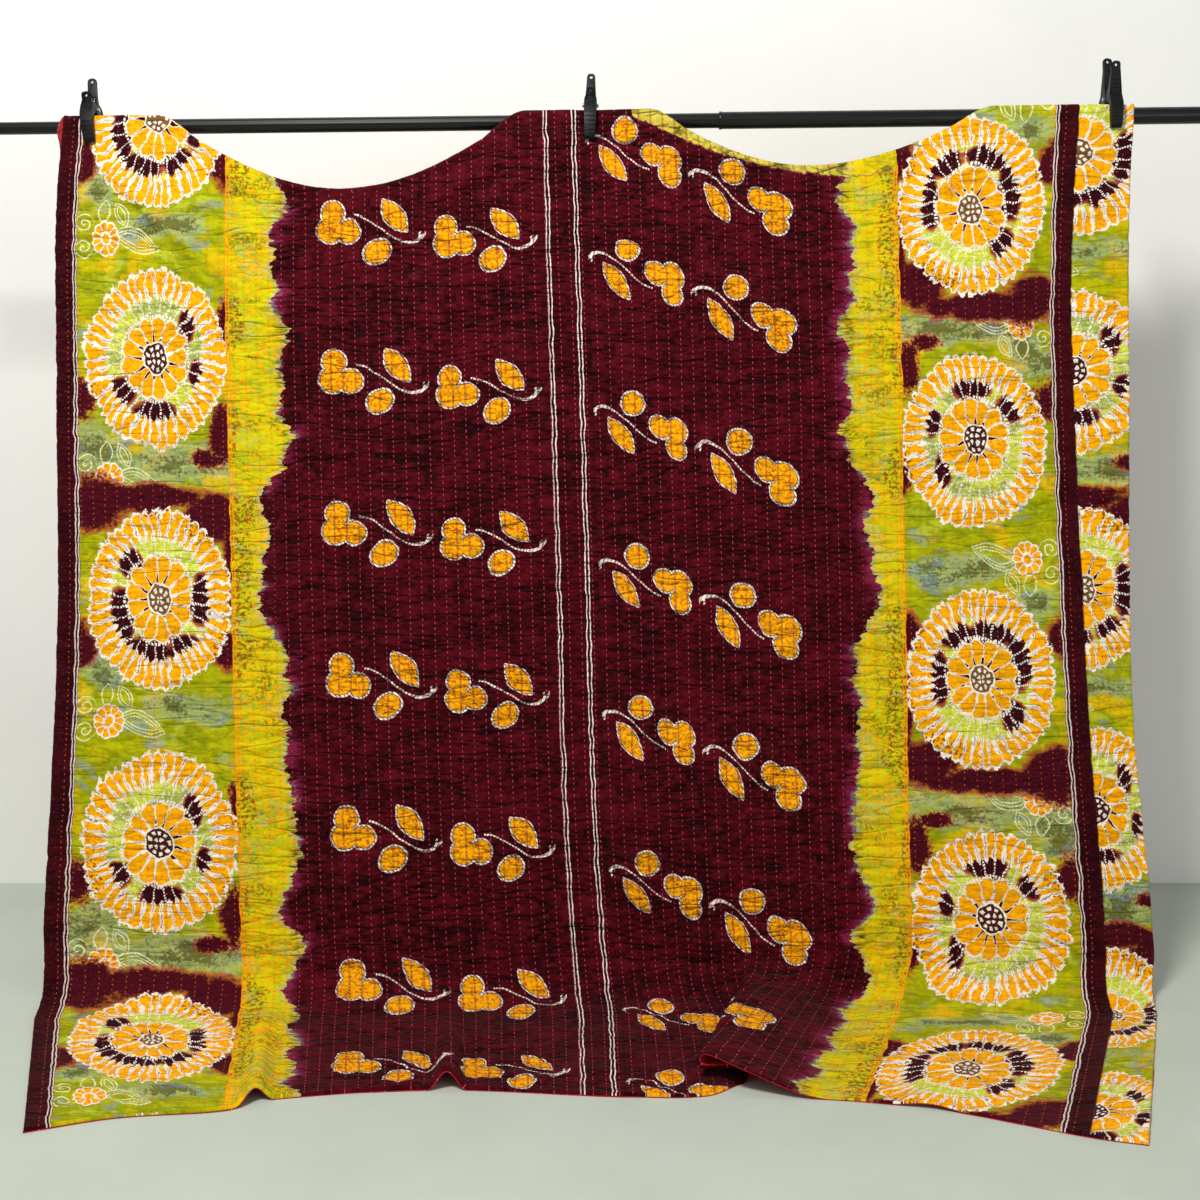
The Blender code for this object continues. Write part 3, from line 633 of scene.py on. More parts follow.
class Value:
    """A number, vector or colour that comes out of a node."""

    def __init__(self, tree, socket):
        self.tree = tree
        self.socket = socket

    def calc(self, kind, *others, swap=False):
        node = self.tree.nodes.new("ShaderNodeMath")
        node.operation = kind
        inputs = (others[0], self) if swap else (self,) + others
        for slot, value in zip(node.inputs, inputs):
            put(slot, value)
        return Value(self.tree, node.outputs[0])

    def __add__(self, other):
        return self.calc("ADD", other)

    def __sub__(self, other):
        return self.calc("SUBTRACT", other)

    def __rsub__(self, other):
        return self.calc("SUBTRACT", other, swap=True)

    def __mul__(self, other):
        return self.calc("MULTIPLY", other)

    def __truediv__(self, other):
        return self.calc("DIVIDE", other)

    __radd__ = __add__
    __rmul__ = __mul__

    def below(self, other):
        return self.calc("LESS_THAN", other)

    def above(self, other):
        return self.calc("GREATER_THAN", other)

    def size(self):
        return self.calc("ABSOLUTE")

    def fract(self):
        return self.calc("FRACT")

    def ramp(self, low, high):
        """0 at low and 1 at high, smoothly."""
        node = self.tree.nodes.new("ShaderNodeMapRange")
        node.interpolation_type = "SMOOTHSTEP"
        for label, value in (("Value", self), ("From Min", low), ("From Max", high)):
            put(node.inputs[label], value)
        return Value(self.tree, node.outputs["Result"])

    def near(self, place, reach):
        """1 within reach of a place, 0 beyond."""
        return (self - place).size().below(reach)

    def wave(self, pitch):
        """Distance from the nearest multiple of pitch."""
        return ((self / pitch + 0.5).fract() - 0.5).size() * pitch


def hypot(x, y):
    return (x * x + y * y).calc("SQRT")


def both(*masks):
    total = masks[0]
    for mask in masks[1:]:
        total = total * mask
    return total


def either(*masks):
    total = masks[0]
    for mask in masks[1:]:
        total = total.calc("MAXIMUM", mask)
    return total


def vector(x, y, z=0.0):
    tree = tree_of(x, y, z)
    node = tree.nodes.new("ShaderNodeCombineXYZ")
    for slot, value in zip(node.inputs, (x, y, z)):
        put(slot, value)
    return Value(tree, node.outputs[0])


def noise(place, scale, detail=2.0, roughness=0.5, dimensions="3D"):
    node = place.tree.nodes.new("ShaderNodeTexNoise")
    node.noise_dimensions = dimensions
    for label, value in (("Vector", place), ("Scale", scale), ("Detail", detail), ("Roughness", roughness)):
        put(node.inputs[label], value)
    return Value(place.tree, node.outputs[0])


def grain(x, y, seed, scale, detail=2.0, roughness=0.5):
    """Noise over a flat place; each seed gives another pattern."""
    return noise(vector(x + seed * 0.731, y - seed * 0.37), scale, detail, roughness, "2D")


def blend(first, second, share):
    """first where share is 0, second where it is 1."""
    if share in (0.0, 1.0):
        return second if share else first
    tree = tree_of(first, second, share)
    node = tree.nodes.new("ShaderNodeMix")
    node.data_type = "RGBA"
    node.clamp_factor = True
    for slot, value in ((0, share), (6, first), (7, second)):
        put(node.inputs[slot], value)
    return Value(tree, node.outputs[2])


def parts_of(tree, socket):
    split = tree.nodes.new("ShaderNodeSeparateXYZ")
    tree.links.new(socket, split.inputs[0])
    return [Value(tree, out) for out in split.outputs]


def attribute(tree, name):
    """The x, y and z of a point attribute."""
    node = tree.nodes.new("ShaderNodeAttribute")
    node.attribute_name = name
    return parts_of(tree, node.outputs["Vector"])


def new_material(name):
    material = bpy.data.materials.new(name)
    material.use_nodes = True
    return material, material.node_tree, material.node_tree.nodes["Principled BSDF"]


def set_inputs(shader, colour, roughness, **others):
    """Sets a shader's colour, roughness and other inputs, with _ for the spaces of their names."""
    put(shader.inputs["Base Color"], colour)
    put(shader.inputs["Roughness"], roughness)
    for label, value in others.items():
        shader.inputs[label.replace("_", " ")].default_value = value


def bump(shader, height, distance, strength):
    node = height.tree.nodes.new("ShaderNodeBump")
    node.inputs["Strength"].default_value = strength
    node.inputs["Distance"].default_value = distance
    put(node.inputs["Height"], height)
    height.tree.links.new(node.outputs[0], shader.inputs["Normal"])


# ======================= the printed cloth =======================

PX = 0.00202                  # one step of the sprig's drawing, in metres
STITCH_STEP = 0.0113
THREAD = 0.0011
CREAM = (246, 236, 222)
ORANGE = (255, 178, 4)
ORANGE_DEEP = (236, 130, 2)
DYE_DARK = (72, 6, 22)
MAROON_DARK = (44, 3, 12)


def lobe(x, y, cx, cy, radius):
    return hypot(x - cx, y - cy) - radius


def leaf(x, y, cx, cy, degrees, half_length, half_width):
    """Below 0 inside a leaf that is pointed at both ends."""
    turn = math.radians(degrees)
    along = (x - cx) * math.cos(turn) + (y - cy) * math.sin(turn)
    across = (y - cy) * math.cos(turn) - (x - cx) * math.sin(turn)
    share = (along / half_length).calc("ABSOLUTE")
    return across.size() - (1.0 - share * share) * half_width


def spread(value, count):
    """Distance from the middle of the sector that an angle (0 to 1) lies in."""
    return ((value * count).fract() - 0.5).size()


def medallion(a, b, colour, dye, mottle, fine):
    """The round flower of the border and the dark dye beside it."""
    beside, inside, _ = dye
    turn = (b - 0.008) / MEDALLION_PITCH + 0.5
    number = turn.calc("FLOOR")
    parity = (number * 0.5).fract().above(0.25)
    dx = (a - MEDALLION_A) / MEDALLION_HALF[0]
    dy = (turn.fract() - 0.5) * (MEDALLION_PITCH / MEDALLION_HALF[1])
    uneven = grain(dx, dy, number * 3.7, 1.7, 1.0)
    waver = grain(dx, dy, number * 5.1, 7.0, 2.0)
    r = hypot(dx, dy) + (uneven - 0.5) * 0.12 + (waver - 0.5) * 0.06
    angle = dy.calc("ARCTAN2", dx) / (2.0 * math.pi) + 0.5
    angle = angle + (uneven - 0.5) * 0.030 + (waver - 0.5) * 0.022
    ragged = fine - 0.5
    dark = beside + (mottle - 0.5) * 1.3 + ragged * (0.4 + parity * 0.9) - 0.08
    colour = blend(colour, (176, 74, 40), dark.ramp(-0.36, -0.06) * 0.85)
    colour = blend(colour, DYE_DARK, dark.ramp(-0.12, 0.12))
    # The pale ring, with dark dye in places.
    disc = r.below(0.80)
    green = blend((206, 214, 48), (148, 162, 92), both(mottle.ramp(0.46, 0.56), parity) * 0.8)
    green = blend(green, (232, 232, 150), fine.ramp(0.50, 0.62) * 0.7)
    colour = blend(colour, green, disc)
    dyed = inside + (mottle - 0.5) * 1.2
    colour = blend(colour, (164, 66, 50), both(disc, dyed.ramp(-0.30, -0.06)))
    colour = blend(colour, (52, 5, 18), both(disc, dyed.ramp(-0.06, 0.08)))
    spokes = both(disc, spread(angle, 28.0).below(0.075), (r * 30.0 + number).fract().below(0.62))
    colour = blend(colour, CREAM, spokes)
    # The outer ring of strokes of bare cloth with wedges of orange between them.
    wedge = spread(angle, 43.0)
    rim = 1.0 - wedge * wedge * 0.20 + ragged * 0.10
    ring = both(r.below(rim), r.above(0.705 - wedge * 0.16 + ragged * 0.10))
    tone = blend(ORANGE, ORANGE_DEEP, fine.ramp(0.54, 0.68) * 0.9)
    tone = blend(tone, (112, 30, 20), both(dark.above(-0.16), fine.above(0.55)) * 0.8)
    colour = blend(colour, tone, ring)
    edge = 0.400 - r.ramp(0.92, 0.72) * 0.15 + ragged * 0.28
    bare = either(wedge.above(edge), r.above(rim - 0.034))
    colour = blend(colour, CREAM, both(ring, bare))
    slit = both(ring, wedge.above(0.466), waver.above(0.49), r.below(0.97))
    colour = blend(colour, (120, 66, 24), slit * 0.8)
    dotted = both(r.near(0.475, 0.016), spread(angle, 70.0).below(0.30))
    colour = blend(colour, CREAM, dotted)
    # The inner petals.
    petal = spread(angle, 13.0)
    tip = 0.452 - petal * petal * 0.22 + ragged * 0.05
    core = r.below(tip)
    colour = blend(colour, CREAM, r.below(tip + 0.021))
    width = 0.437 - r.ramp(0.32, 0.17) * 0.16 + ragged * 0.16
    colour = blend(colour, tone, both(core, petal.below(width)))
    slit = both(core, petal.above(width + 0.05), mottle.above(0.50))
    colour = blend(colour, MAROON_DARK, slit)
    colour = blend(colour, CREAM, r.below(0.186))
    colour = blend(colour, blend((120, 84, 44), (58, 8, 22), parity * 0.9),
                   r.below(0.166 + ragged * 0.03))
    seeds = spread(angle, 9.0).below(0.26)
    few = spread(angle, 4.0).below(0.28)
    colour = blend(colour, CREAM, both(r.near(0.122, 0.020), seeds))
    return blend(colour, CREAM, both(r.near(0.056, 0.020), few))


def small_flower(a, b, colour, fine):
    """The small flower between two medallions, with its curls and its paisley leaf."""
    x = (a - 0.107) / PX
    y = ((b - 0.008) / MEDALLION_PITCH).fract() - 0.5
    y = y * (MEDALLION_PITCH / PX)
    angle = y.calc("ARCTAN2", x) / (2.0 * math.pi) + 0.5
    petal = spread(angle, 11.0)
    oval = hypot(x / 13.5, y / 16.0) + petal * petal * 0.5
    pale = (226, 228, 176)
    # Curls on the outer side.
    for cy, turned in ((-15.0, 1.0), (9.0, -1.0)):
        px, py = x + 23.0, y - cy
        away = hypot(px, py)
        about = py.calc("ARCTAN2", px) / (2.0 * math.pi) * turned
        curl = both(spread(away / 5.6 - about, 1.0).above(0.37), away.below(10.5))
        colour = blend(colour, pale, both(curl, x.below(-12.0)))
    # The outlines of a paisley and of a small leaf on the inner side.
    bent = y - x * x * 0.006 + 4.0
    drop = leaf(x, bent, 31.0, 0.0, -4.0, 24.0, 12.0)
    lines = either(drop.near(0.0, 0.9), drop.near(-3.6, 0.6), drop.near(-6.8, 0.7))
    colour = blend(colour, pale, both(lines, (x + y).wave(3.4).below(1.35)))
    small = leaf(x, y, 16.0, -24.0, 64.0, 13.0, 6.5)
    tall = leaf(x, y, -2.0, -26.0, 96.0, 12.0, 6.0)
    lines = either(small.near(0.0, 0.8), tall.near(0.0, 0.8), small.near(-3.2, 0.6))
    colour = blend(colour, pale, both(lines, (x - y).wave(3.2).below(1.3)))
    # The flower.
    colour = blend(colour, CREAM, oval.below(1.12))
    tone = blend(ORANGE, ORANGE_DEEP, fine.ramp(0.52, 0.64))
    colour = blend(colour, tone, both(oval.below(1.0), petal.below(0.40)))
    core = hypot(x / 13.5, y / 16.0)
    colour = blend(colour, CREAM, core.below(0.44))
    return blend(colour, tone, core.below(0.28))


def sprig(a, b, colour, fine, streaks):
    """A flower of three lobes with two leaves on a curved stem, in two staggered columns."""
    second = a.above(0.772)
    ca = 0.585 + second * (0.820 - 0.585)
    cb = 0.220 + second * (0.2525 - 0.220)
    away = ((b - cb + 0.095) / SPRIG_PITCH).fract() * SPRIG_PITCH - 0.095
    turn = second * math.radians(6.0)
    scale = PX * (1.0 - second * 0.05)
    x0, y0 = (a - ca) / scale, away / scale
    x = x0 - y0 * turn
    y = y0 + x0 * turn
    flower = lobe(x, y, -6.0, -10.0, 10.4)
    flower = flower.calc("MINIMUM", lobe(x, y, -9.0, 8.0, 11.4))
    flower = flower.calc("MINIMUM", lobe(x, y, 10.0, 9.0, 10.4))
    leaves = leaf(x, y, 57.0, -6.0, 54.0, 19.5, 9.0)
    turned = math.radians(-35.0)
    along = (x - 39.0) * math.cos(turned) + (y - 30.0) * math.sin(turned)
    across = (y - 30.0) * math.cos(turned) - (x - 39.0) * math.sin(turned)
    leaves = leaves.calc("MINIMUM", (hypot(along / 12.6, across / 10.0) - 1.0) * 10.0)
    shape = flower.calc("MINIMUM", leaves)
    t = (x - 16.0) / 73.0
    curve = -7.5 + t * 5.1 + t * t * 138.3 - t * t * t * 124.3
    width = 1.0 + t.ramp(0.55, 0.95) * 1.0
    stem = both((y - curve).size().below(width), t.above(0.0), t.below(1.0))
    beads = (x * 0.9 + y * 0.5).wave(3.6).below(1.34)
    colour = blend(colour, (186, 140, 130), both(stem, t.above(0.70)) * 0.8)
    colour = blend(colour, CREAM, both(stem, beads))
    spur = both((x - 83.0).size().below(1.1), y.near(curve - 4.0, 3.2), (y - curve).wave(2.8).below(0.9))
    colour = blend(colour, CREAM, spur)
    dashes = (x * 0.8 - y * 0.6).wave(3.4).below(1.30)
    colour = blend(colour, CREAM, both(shape.near(1.9, 0.95), dashes))
    crackle = (streaks - 0.5).size().ramp(0.016, 0.004)
    tone = blend(ORANGE, (238, 138, 4), fine.ramp(0.48, 0.60))
    tone = blend(tone, (160, 60, 8), either(crackle, fine.ramp(0.62, 0.68)) * 0.8)
    return blend(colour, tone, shape.below(0.4)), shape.below(1.0)


def quilting(u, v, seed):
    """Distance from a row of stitches, place in a stitch's step, the puckers' pinch and the weave."""
    row = u.wave(STITCH_PITCH)
    lane = (u / STITCH_PITCH + 0.5).calc("FLOOR")
    pinched = (grain(u * 0.34 + lane * 0.04, v * 1.15, 12.0, 30.0, 1.5) - 0.5).size()
    drift = grain(lane, v * 9.0, seed, 1.0, 1.0) * 1.6
    run = (v / STITCH_STEP + (lane * 0.618).fract() + drift).fract()
    warp = (u / THREAD * math.pi * 2.0).calc("SINE") * (v / THREAD * math.pi * 2.0).calc("SINE")
    return row, run, pinched, warp


def printed_cotton(part):
    """The cloth of one part of the print: border, yellow, field, or joins, which has them all."""
    material, tree, shader = new_material("printed_cotton_" + part)
    u, v, valley = attribute(tree, "cloth_place")
    a0, b0, side_strip = attribute(tree, "border_place")
    # Hand-drawn lines waver a little.
    waver = (grain(u, v, 3.0, 26.0, 2.0) - 0.5) * 0.008
    waver_b = (grain(u, v, 9.0, 24.0, 2.0) - 0.5) * 0.008
    a, b = a0 + waver, b0 + waver_b
    streaks = grain(u * 0.8 + v * 0.4, v * 1.3 - u * 0.5, 1.0, 15.0, 3.0, 0.6)
    patches = grain(u, v * 1.2, 5.0, 9.0, 3.0, 0.55)
    mottle = grain(u * 0.8, v * 1.2, 11.0, 14.0, 3.0, 0.65)
    fine = grain(u, v, 7.0, 150.0, 3.0, 0.65)
    brushed = grain(u, v * 1.3, 21.0, 105.0, 3.0, 0.7)
    dye = attribute(tree, "dye_place")
    pale_zone = (a0 - 0.456).ramp(0.010, -0.010)
    pale = 0.0 if part == "field" else 1.0
    # Weight of the painted shade and painted highlight: less on the pale print, and less again on motifs
    # and white lines below.
    painted_shade_weight = 1.0 - pale_zone * 0.70

    if part != "border":
        colour = blend((56, 1, 6), (76, 3, 13), patches.ramp(0.34, 0.66))
        colour = blend(colour, (98, 10, 22), fine.ramp(0.54, 0.72) * 0.4)
    if part in ("field", "joins"):
        fa0, fb0, end_band = attribute(tree, "field_place")
        fa, fb = fa0 + waver, fb0 + waver_b
        printed, motif = sprig(fa, fb, colour, fine, streaks)
        inside = both(fa.above(0.475), fa.below(1.003))
        colour = blend(colour, printed, inside)
        painted_shade_weight = painted_shade_weight * (1.0 - both(motif, inside) * 0.75)
        pairs = either(a.near(1.0105, 0.0011), a.near(1.0175, 0.0011), a.near(1.0685, 0.0011),
                       a.near(1.0755, 0.0011))
        pairs = both(pairs, 1.0 - side_strip)
        colour = blend(colour, (246, 232, 224), pairs)
        painted_shade_weight = painted_shade_weight * (1.0 - pairs * 0.7)
    if part in ("yellow", "joins"):
        # The yellow zone: lime, brushed over with orange curls, with a ragged edge.
        lobes = grain(0.0, v, 4.0, 9.0, 1.0)
        spikes = grain(u * 0.2, v, 4.0, 60.0, 3.0, 0.7)
        jag = 0.455 + (lobes - 0.5) * 0.13 + (spikes - 0.5) * 0.042
        pale = a.below(jag)
        yellow = yellow_cloth(u, v, dye, streaks, patches, mottle, fine, brushed)
        edge = (a - jag).ramp(-0.014, -0.001)
        yellow = blend(yellow, (170, 176, 150), both(edge, fine.above(0.47)) * 0.7)
        beyond = both((a - jag).ramp(0.034, 0.0), patches.ramp(0.44, 0.58), a.above(0.38))
        colour = blend(colour, (140, 36, 76), beyond * 0.85)
        spots = both(beyond, a.below(jag + 0.008), mottle.above(0.50))
        colour = blend(colour, (120, 110, 124), spots * 0.8)
        colour = blend(colour, yellow, pale)
    if part in ("border", "joins"):
        ground = border_ground(dye, streaks, patches, mottle, fine)
        ground = small_flower(a, b, ground, fine)
        band = medallion(a, b, ground, dye, mottle, fine)
        colour = band if part == "border" else blend(colour, band, a.below(0.355))
    if part == "border":
        # The dark strip along the edge and its white lines.
        strip = blend((46, 1, 10), (62, 3, 16), patches.ramp(0.4, 0.6))
        colour = blend(colour, strip, a.below(0.0452))
        white = either(a.near(0.0372, 0.0012), a.near(0.0430, 0.0012))
        colour = blend(colour, (226, 206, 196), white)
    if part in ("yellow", "joins"):
        line = either(a.near(0.3555, 0.0013), a.near(0.3615, 0.0012))
        colour = blend(colour, (255, 150, 0), line)
    if part == "joins":
        # The yellow dyed end that shows along the right sag.
        ragged = end_band + (grain(u, 0.0, 6.0, 70.0, 3.0, 0.75) - 0.5) * 0.016
        colour = blend(colour, (140, 36, 76), ragged.ramp(-0.006, 0.001) * 0.8)
        dyed_end = blend(yellow, (226, 204, 8), 0.55)
        dyed_end = blend(dyed_end, (116, 112, 20), mottle.ramp(0.54, 0.62) * 0.8)
        colour = blend(colour, dyed_end, ragged.above(0.0))

    # Painted shade in the creases, pinches and valleys between the puckers, a painted highlight on their
    # crests, and pale wear from years of washing.
    row, run, pinched, warp = quilting(u, v, 0.0)
    long = (grain(u * 0.28, v * 1.7, 31.0, 15.0, 2.0, 0.5) - 0.5).size()
    crease_shade = both(long.ramp(0.022, 0.004), streaks.ramp(0.34, 0.48))
    pinch_shade = both(pinched.ramp(0.045, 0.0), patches.ramp(0.74, 0.42)) * 0.80
    crest = both(pinched.ramp(0.07, 0.20), 1.0 - pale_zone)
    # Painted highlight on the crests of the puckers.
    colour = blend(colour, (110, 18, 34), both(crest, painted_shade_weight) * 0.26)
    # Painted shade in the valleys, creases and pinches between the puckers.
    colour = blend(colour, (20, 2, 5), valley * painted_shade_weight * 0.55)
    colour = blend(colour, (12, 1, 4), either(crease_shade, pinch_shade) * painted_shade_weight * 0.80)
    colour = blend(colour, (206, 170, 150), fine.ramp(0.58, 0.80) * (0.02 + pale_zone * 0.06))

    # Rows of running stitch.
    stitch = both(row.below(0.0009), run.below(0.45 - pale_zone * 0.18))
    dip = both(row.below(0.0020), 1.0 - stitch)
    # Painted shade in the dip along each row of stitching, on the dark cloth.
    if part != "border":
        colour = blend(colour, (30, 4, 10), both(dip, 1.0 - pale) * 0.30)
    thread = blend((192, 56, 92), (222, 96, 30), pale)
    colour = blend(colour, thread, stitch * (0.90 - pale * 0.20))
    height = pinched.calc("POWER", 0.65) * 5.2 + long.ramp(0.0, 0.060) * 1.4 + brushed * 0.8
    height = height * (1.0 - pale_zone * 0.55) + warp * 0.05 + stitch * 0.4 - dip * 0.3
    bump(shader, height, 0.0028, 1.0)
    set_inputs(shader, colour, 0.86 + (fine - 0.5) * 0.2,
               Sheen_Weight=0.02, Sheen_Roughness=0.5, Specular_IOR_Level=0.06)
    return material


def yellow_cloth(u, v, dye, streaks, patches, mottle, fine, brushed):
    """Lime cloth brushed over with orange curls and specks."""
    curls = grain(u, v * 1.1, 25.0, 34.0, 1.0)
    lace = either((curls - 0.47).size().ramp(0.022, 0.010), (curls - 0.60).size().ramp(0.018, 0.008))
    amount = 0.525 + (patches - 0.5) * 0.30
    orange = either(brushed.ramp(amount, amount + 0.05), lace * 0.9)
    yellow = blend((204, 206, 10), (176, 190, 24), streaks.ramp(0.40, 0.62))
    yellow = blend(yellow, (180, 198, 120), both(streaks.ramp(0.53, 0.66), fine.ramp(0.44, 0.54)) * 0.7)
    yellow = blend(yellow, (255, 176, 0), orange * 0.92)
    yellow = blend(yellow, (118, 108, 14), both(mottle.ramp(0.54, 0.66), fine.ramp(0.46, 0.54)) * 0.75)
    brush_dark = both(brushed.ramp(0.50, 0.56), (dye[0] + 0.62 + (mottle - 0.5) * 1.4).ramp(0.0, 0.2))
    return blend(yellow, (124, 34, 14), brush_dark * 0.75)


def border_ground(dye, streaks, patches, mottle, fine):
    """The lime ground of the border, with washes of pale green, olive and grey blue."""
    ground = blend((180, 180, 4), (146, 156, 2), streaks.ramp(0.38, 0.56))
    ground = blend(ground, (196, 204, 50), streaks.ramp(0.53, 0.70) * 0.75)
    ground = blend(ground, (242, 188, 8), patches.ramp(0.46, 0.32) * 0.6)
    ground = blend(ground, (156, 150, 14), both(patches.ramp(0.52, 0.66), fine.ramp(0.42, 0.56)) * 0.7)
    olive = dye[2] + (mottle - 0.5) * 3.0 + (fine - 0.5) * 1.6
    ground = blend(ground, (156, 180, 140), olive.ramp(-0.20, 0.35) * 0.6)
    ground = blend(ground, (92, 92, 26), olive.ramp(0.35, 0.80) * 0.85)
    return blend(ground, (128, 150, 172), both(mottle.ramp(0.57, 0.64), streaks.ramp(0.48, 0.54)) * 0.45)


def red_cotton():
    material, tree, shader = new_material("red_backing_cotton")
    u, v, _ = attribute(tree, "cloth_place")
    patches = grain(u, v * 1.4, 1.0, 6.0, 3.0)
    fine = grain(u, v, 2.0, 140.0, 2.0, 0.7)
    colour = blend((192, 22, 34), (172, 14, 28), patches.ramp(0.35, 0.65))
    colour = blend(colour, (214, 60, 60), fine.ramp(0.55, 0.75) * 0.35)
    row, run, pinched, warp = quilting(u, v, 8.0)
    # Painted shade in the pinches between the puckers.
    pinch_shade = both(pinched.ramp(0.05, 0.0), patches.ramp(0.70, 0.40))
    colour = blend(colour, (96, 4, 12), pinch_shade * 0.55)
    stitch = both(row.below(0.0009), run.below(0.45))
    colour = blend(colour, (226, 120, 120), stitch * 0.85)
    channel = (row / STITCH_PITCH * 2.0 * math.pi).calc("SINE")
    height = pinched.calc("POWER", 0.65) * 4.6 + fine * 0.6 + channel * 0.5 + warp * 0.05 + stitch * 0.3
    bump(shader, height, 0.0028, 1.0)
    set_inputs(shader, colour, 0.88 + (fine - 0.5) * 0.16, Sheen_Weight=0.05, Specular_IOR_Level=0.15)
    return material


# ======================= rod and clamps =======================

# x, radius of the rod there, handle tops above the axis, jaw below it
CLAMPS = (
    {"name": "clamp_left", "x": -1.034, "rod": "rod_left",
     "front_top": 0.065, "back_top": 0.102, "jaw": 0.037, "lean": -0.10},
    {"name": "clamp_centre", "x": -0.020, "rod": "rod_middle",
     "front_top": 0.064, "back_top": 0.100, "jaw": 0.042, "lean": 0.02},
    {"name": "clamp_right", "x": 1.041, "rod": "rod_right",
     "front_top": 0.102, "back_top": 0.119, "jaw": 0.031, "lean": 0.0},
)
PIN_Y = -0.0135
PIN_Z = 0.030
PIN_RADIUS = 0.004
JAW_HALF_WIDTH = 0.0115
PIVOT_HALF_WIDTH = 0.0130
HANDLE_HALF_WIDTH = 0.0088
ROUND_END = 0.0085


def arc(centre, radius, start, stop, steps):
    return [(centre[0] + radius * math.cos(a), centre[1] + radius * math.sin(a))
            for a in (start + (stop - start) * k / steps for k in range(steps + 1))]


def clamp_outlines(spec):
    radius = ROD_RADIUS[spec["rod"]]
    rise = FOLD_RISE - FOLD_RADIUS
    jaw = spec["jaw"]
    clear = CLOTH_THICK + 0.0005 + 2 * GAP
    seat = PIN_RADIUS + GAP
    front_face = PIN_Y - GAP / 2
    back_face = PIN_Y + GAP / 2
    tilt = LEAN * 1.02

    def pad(z):
        return FRONT_Y - clear - tilt * (rise - z)

    quarter = 0.5 * math.pi
    front = [(front_face, PIN_Z - seat - 0.0035)]
    front += arc((front_face, PIN_Z), seat, -quarter, -3 * quarter, 6)
    front += [(front_face, PIN_Z + seat + 0.004), (-0.022, PIN_Z + 0.022),
              (-0.0335, spec["front_top"] - 0.003), (-0.0365, spec["front_top"]),
              (-0.040, spec["front_top"] - 0.003), (-0.036, PIN_Z + 0.014),
              (-0.052, 0.022), (-0.061, 0.004), (pad(-jaw) - 0.011, -jaw + 0.004),
              (pad(-jaw) - 0.006, -jaw - 0.002), (pad(-jaw), -jaw), (pad(0.004), 0.004),
              (-0.0450, 0.013), (-0.0360, 0.0215), (-0.024, 0.0235)]
    back = [(back_face, PIN_Z - seat - 0.0035)]
    back += arc((back_face, PIN_Z), seat, -quarter, quarter, 6)
    back += [(back_face, PIN_Z + seat + 0.004), (-0.002, PIN_Z + 0.022),
             (0.0150, spec["back_top"] - 0.003), (0.0185, spec["back_top"]),
             (0.022, spec["back_top"] - 0.003), (0.010, PIN_Z + 0.014),
             (radius + 0.012, 0.020), (radius + 0.016, 0.004), (radius + 0.012, -jaw + 0.010),
             (radius + 0.006, -jaw + 0.004), (radius + GAP, -jaw + 0.006),
             (radius + GAP, 0.009), (radius + 0.001, 0.015), (0.004, 0.0235)]
    return front, back


def apply_modifiers(thing):
    bpy.context.view_layer.update()
    seen = thing.evaluated_get(bpy.context.evaluated_depsgraph_get())
    mesh = bpy.data.meshes.new_from_object(seen)
    thing.modifiers.clear()
    old = thing.data
    thing.data = mesh
    bpy.data.meshes.remove(old)


def mesh_object(name, shape):
    mesh = bpy.data.meshes.new(name)
    shape.to_mesh(mesh)
    shape.free()
    thing = bpy.data.objects.new(name, mesh)
    bpy.context.collection.objects.link(thing)
    return thing


def join_rings(shape, rings):
    for low, high in zip(rings, rings[1:]):
        for k in range(len(low)):
            after = (k + 1) % len(low)
            shape.faces.new((low[k], low[after], high[after], high[k]))


def add_bar(shape, start, end, radius, sides=10):
    """A rounded bar between two points."""
    start, end = Vector(start), Vector(end)
    turn = (end - start).normalized().to_track_quat("Z", "Y").to_matrix().to_4x4()
    length = (end - start).length
    rings = []
    for place, share in ((0.0, 0.35), (0.25 * radius, 0.8), (0.8 * radius, 1.0),
                         (length - 0.8 * radius, 1.0), (length - 0.25 * radius, 0.8), (length, 0.35)):
        reach = radius * share
        spots = [Vector((reach * math.cos(angle), reach * math.sin(angle), place))
                 for angle in (2 * math.pi * k / sides for k in range(sides))]
        rings.append([shape.verts.new(start + turn @ spot) for spot in spots])
    join_rings(shape, rings)
    shape.faces.new(list(reversed(rings[0])))
    shape.faces.new(rings[-1])


def face_outward(shape):
    bmesh.ops.recalc_face_normals(shape, faces=shape.faces)
    if shape.calc_volume(signed=True) < 0.0:
        bmesh.ops.reverse_faces(shape, faces=shape.faces)


def half_width(z, top):
    """Half a clamp's width at height z: a jaw that narrows, a wide pivot, a round-ended handle."""
    half = float(np.interp(z, [-0.045, 0.004, 0.018, 0.038, 0.050],
                           [JAW_HALF_WIDTH - 0.001, JAW_HALF_WIDTH, PIVOT_HALF_WIDTH, PIVOT_HALF_WIDTH,
                            HANDLE_HALF_WIDTH]))
    into_end = max(0.0, (z - top + ROUND_END) / (1.04 * ROUND_END))
    return half * math.sqrt(1.0 - into_end * into_end)


def finer(outline, top):
    """The same outline with more points, closest together at the handle's round end."""
    points = []
    for (y0, z0), (y1, z1) in zip(outline, outline[1:] + outline[:1]):
        step = 0.0014 if max(z0, z1) > top - 0.002 and min(z0, z1) > top - 0.012 else 0.005
        count = max(1, math.ceil(abs(z1 - z0) / step))
        points += [(y0 + (y1 - y0) * k / count, z0 + (z1 - z0) * k / count) for k in range(count)]
    return points


def with_round_end(outline, top):
    """The outline with a point where the handle's round end starts, on each of its two sides."""
    start = top - ROUND_END
    points = []
    for (y0, z0), (y1, z1) in zip(outline, outline[1:] + outline[:1]):
        points.append((y0, z0))
        if (z0 - start) * (z1 - start) < 0.0:
            share = (start - z0) / (z1 - z0)
            points.append((y0 + (y1 - y0) * share, start))
    return points


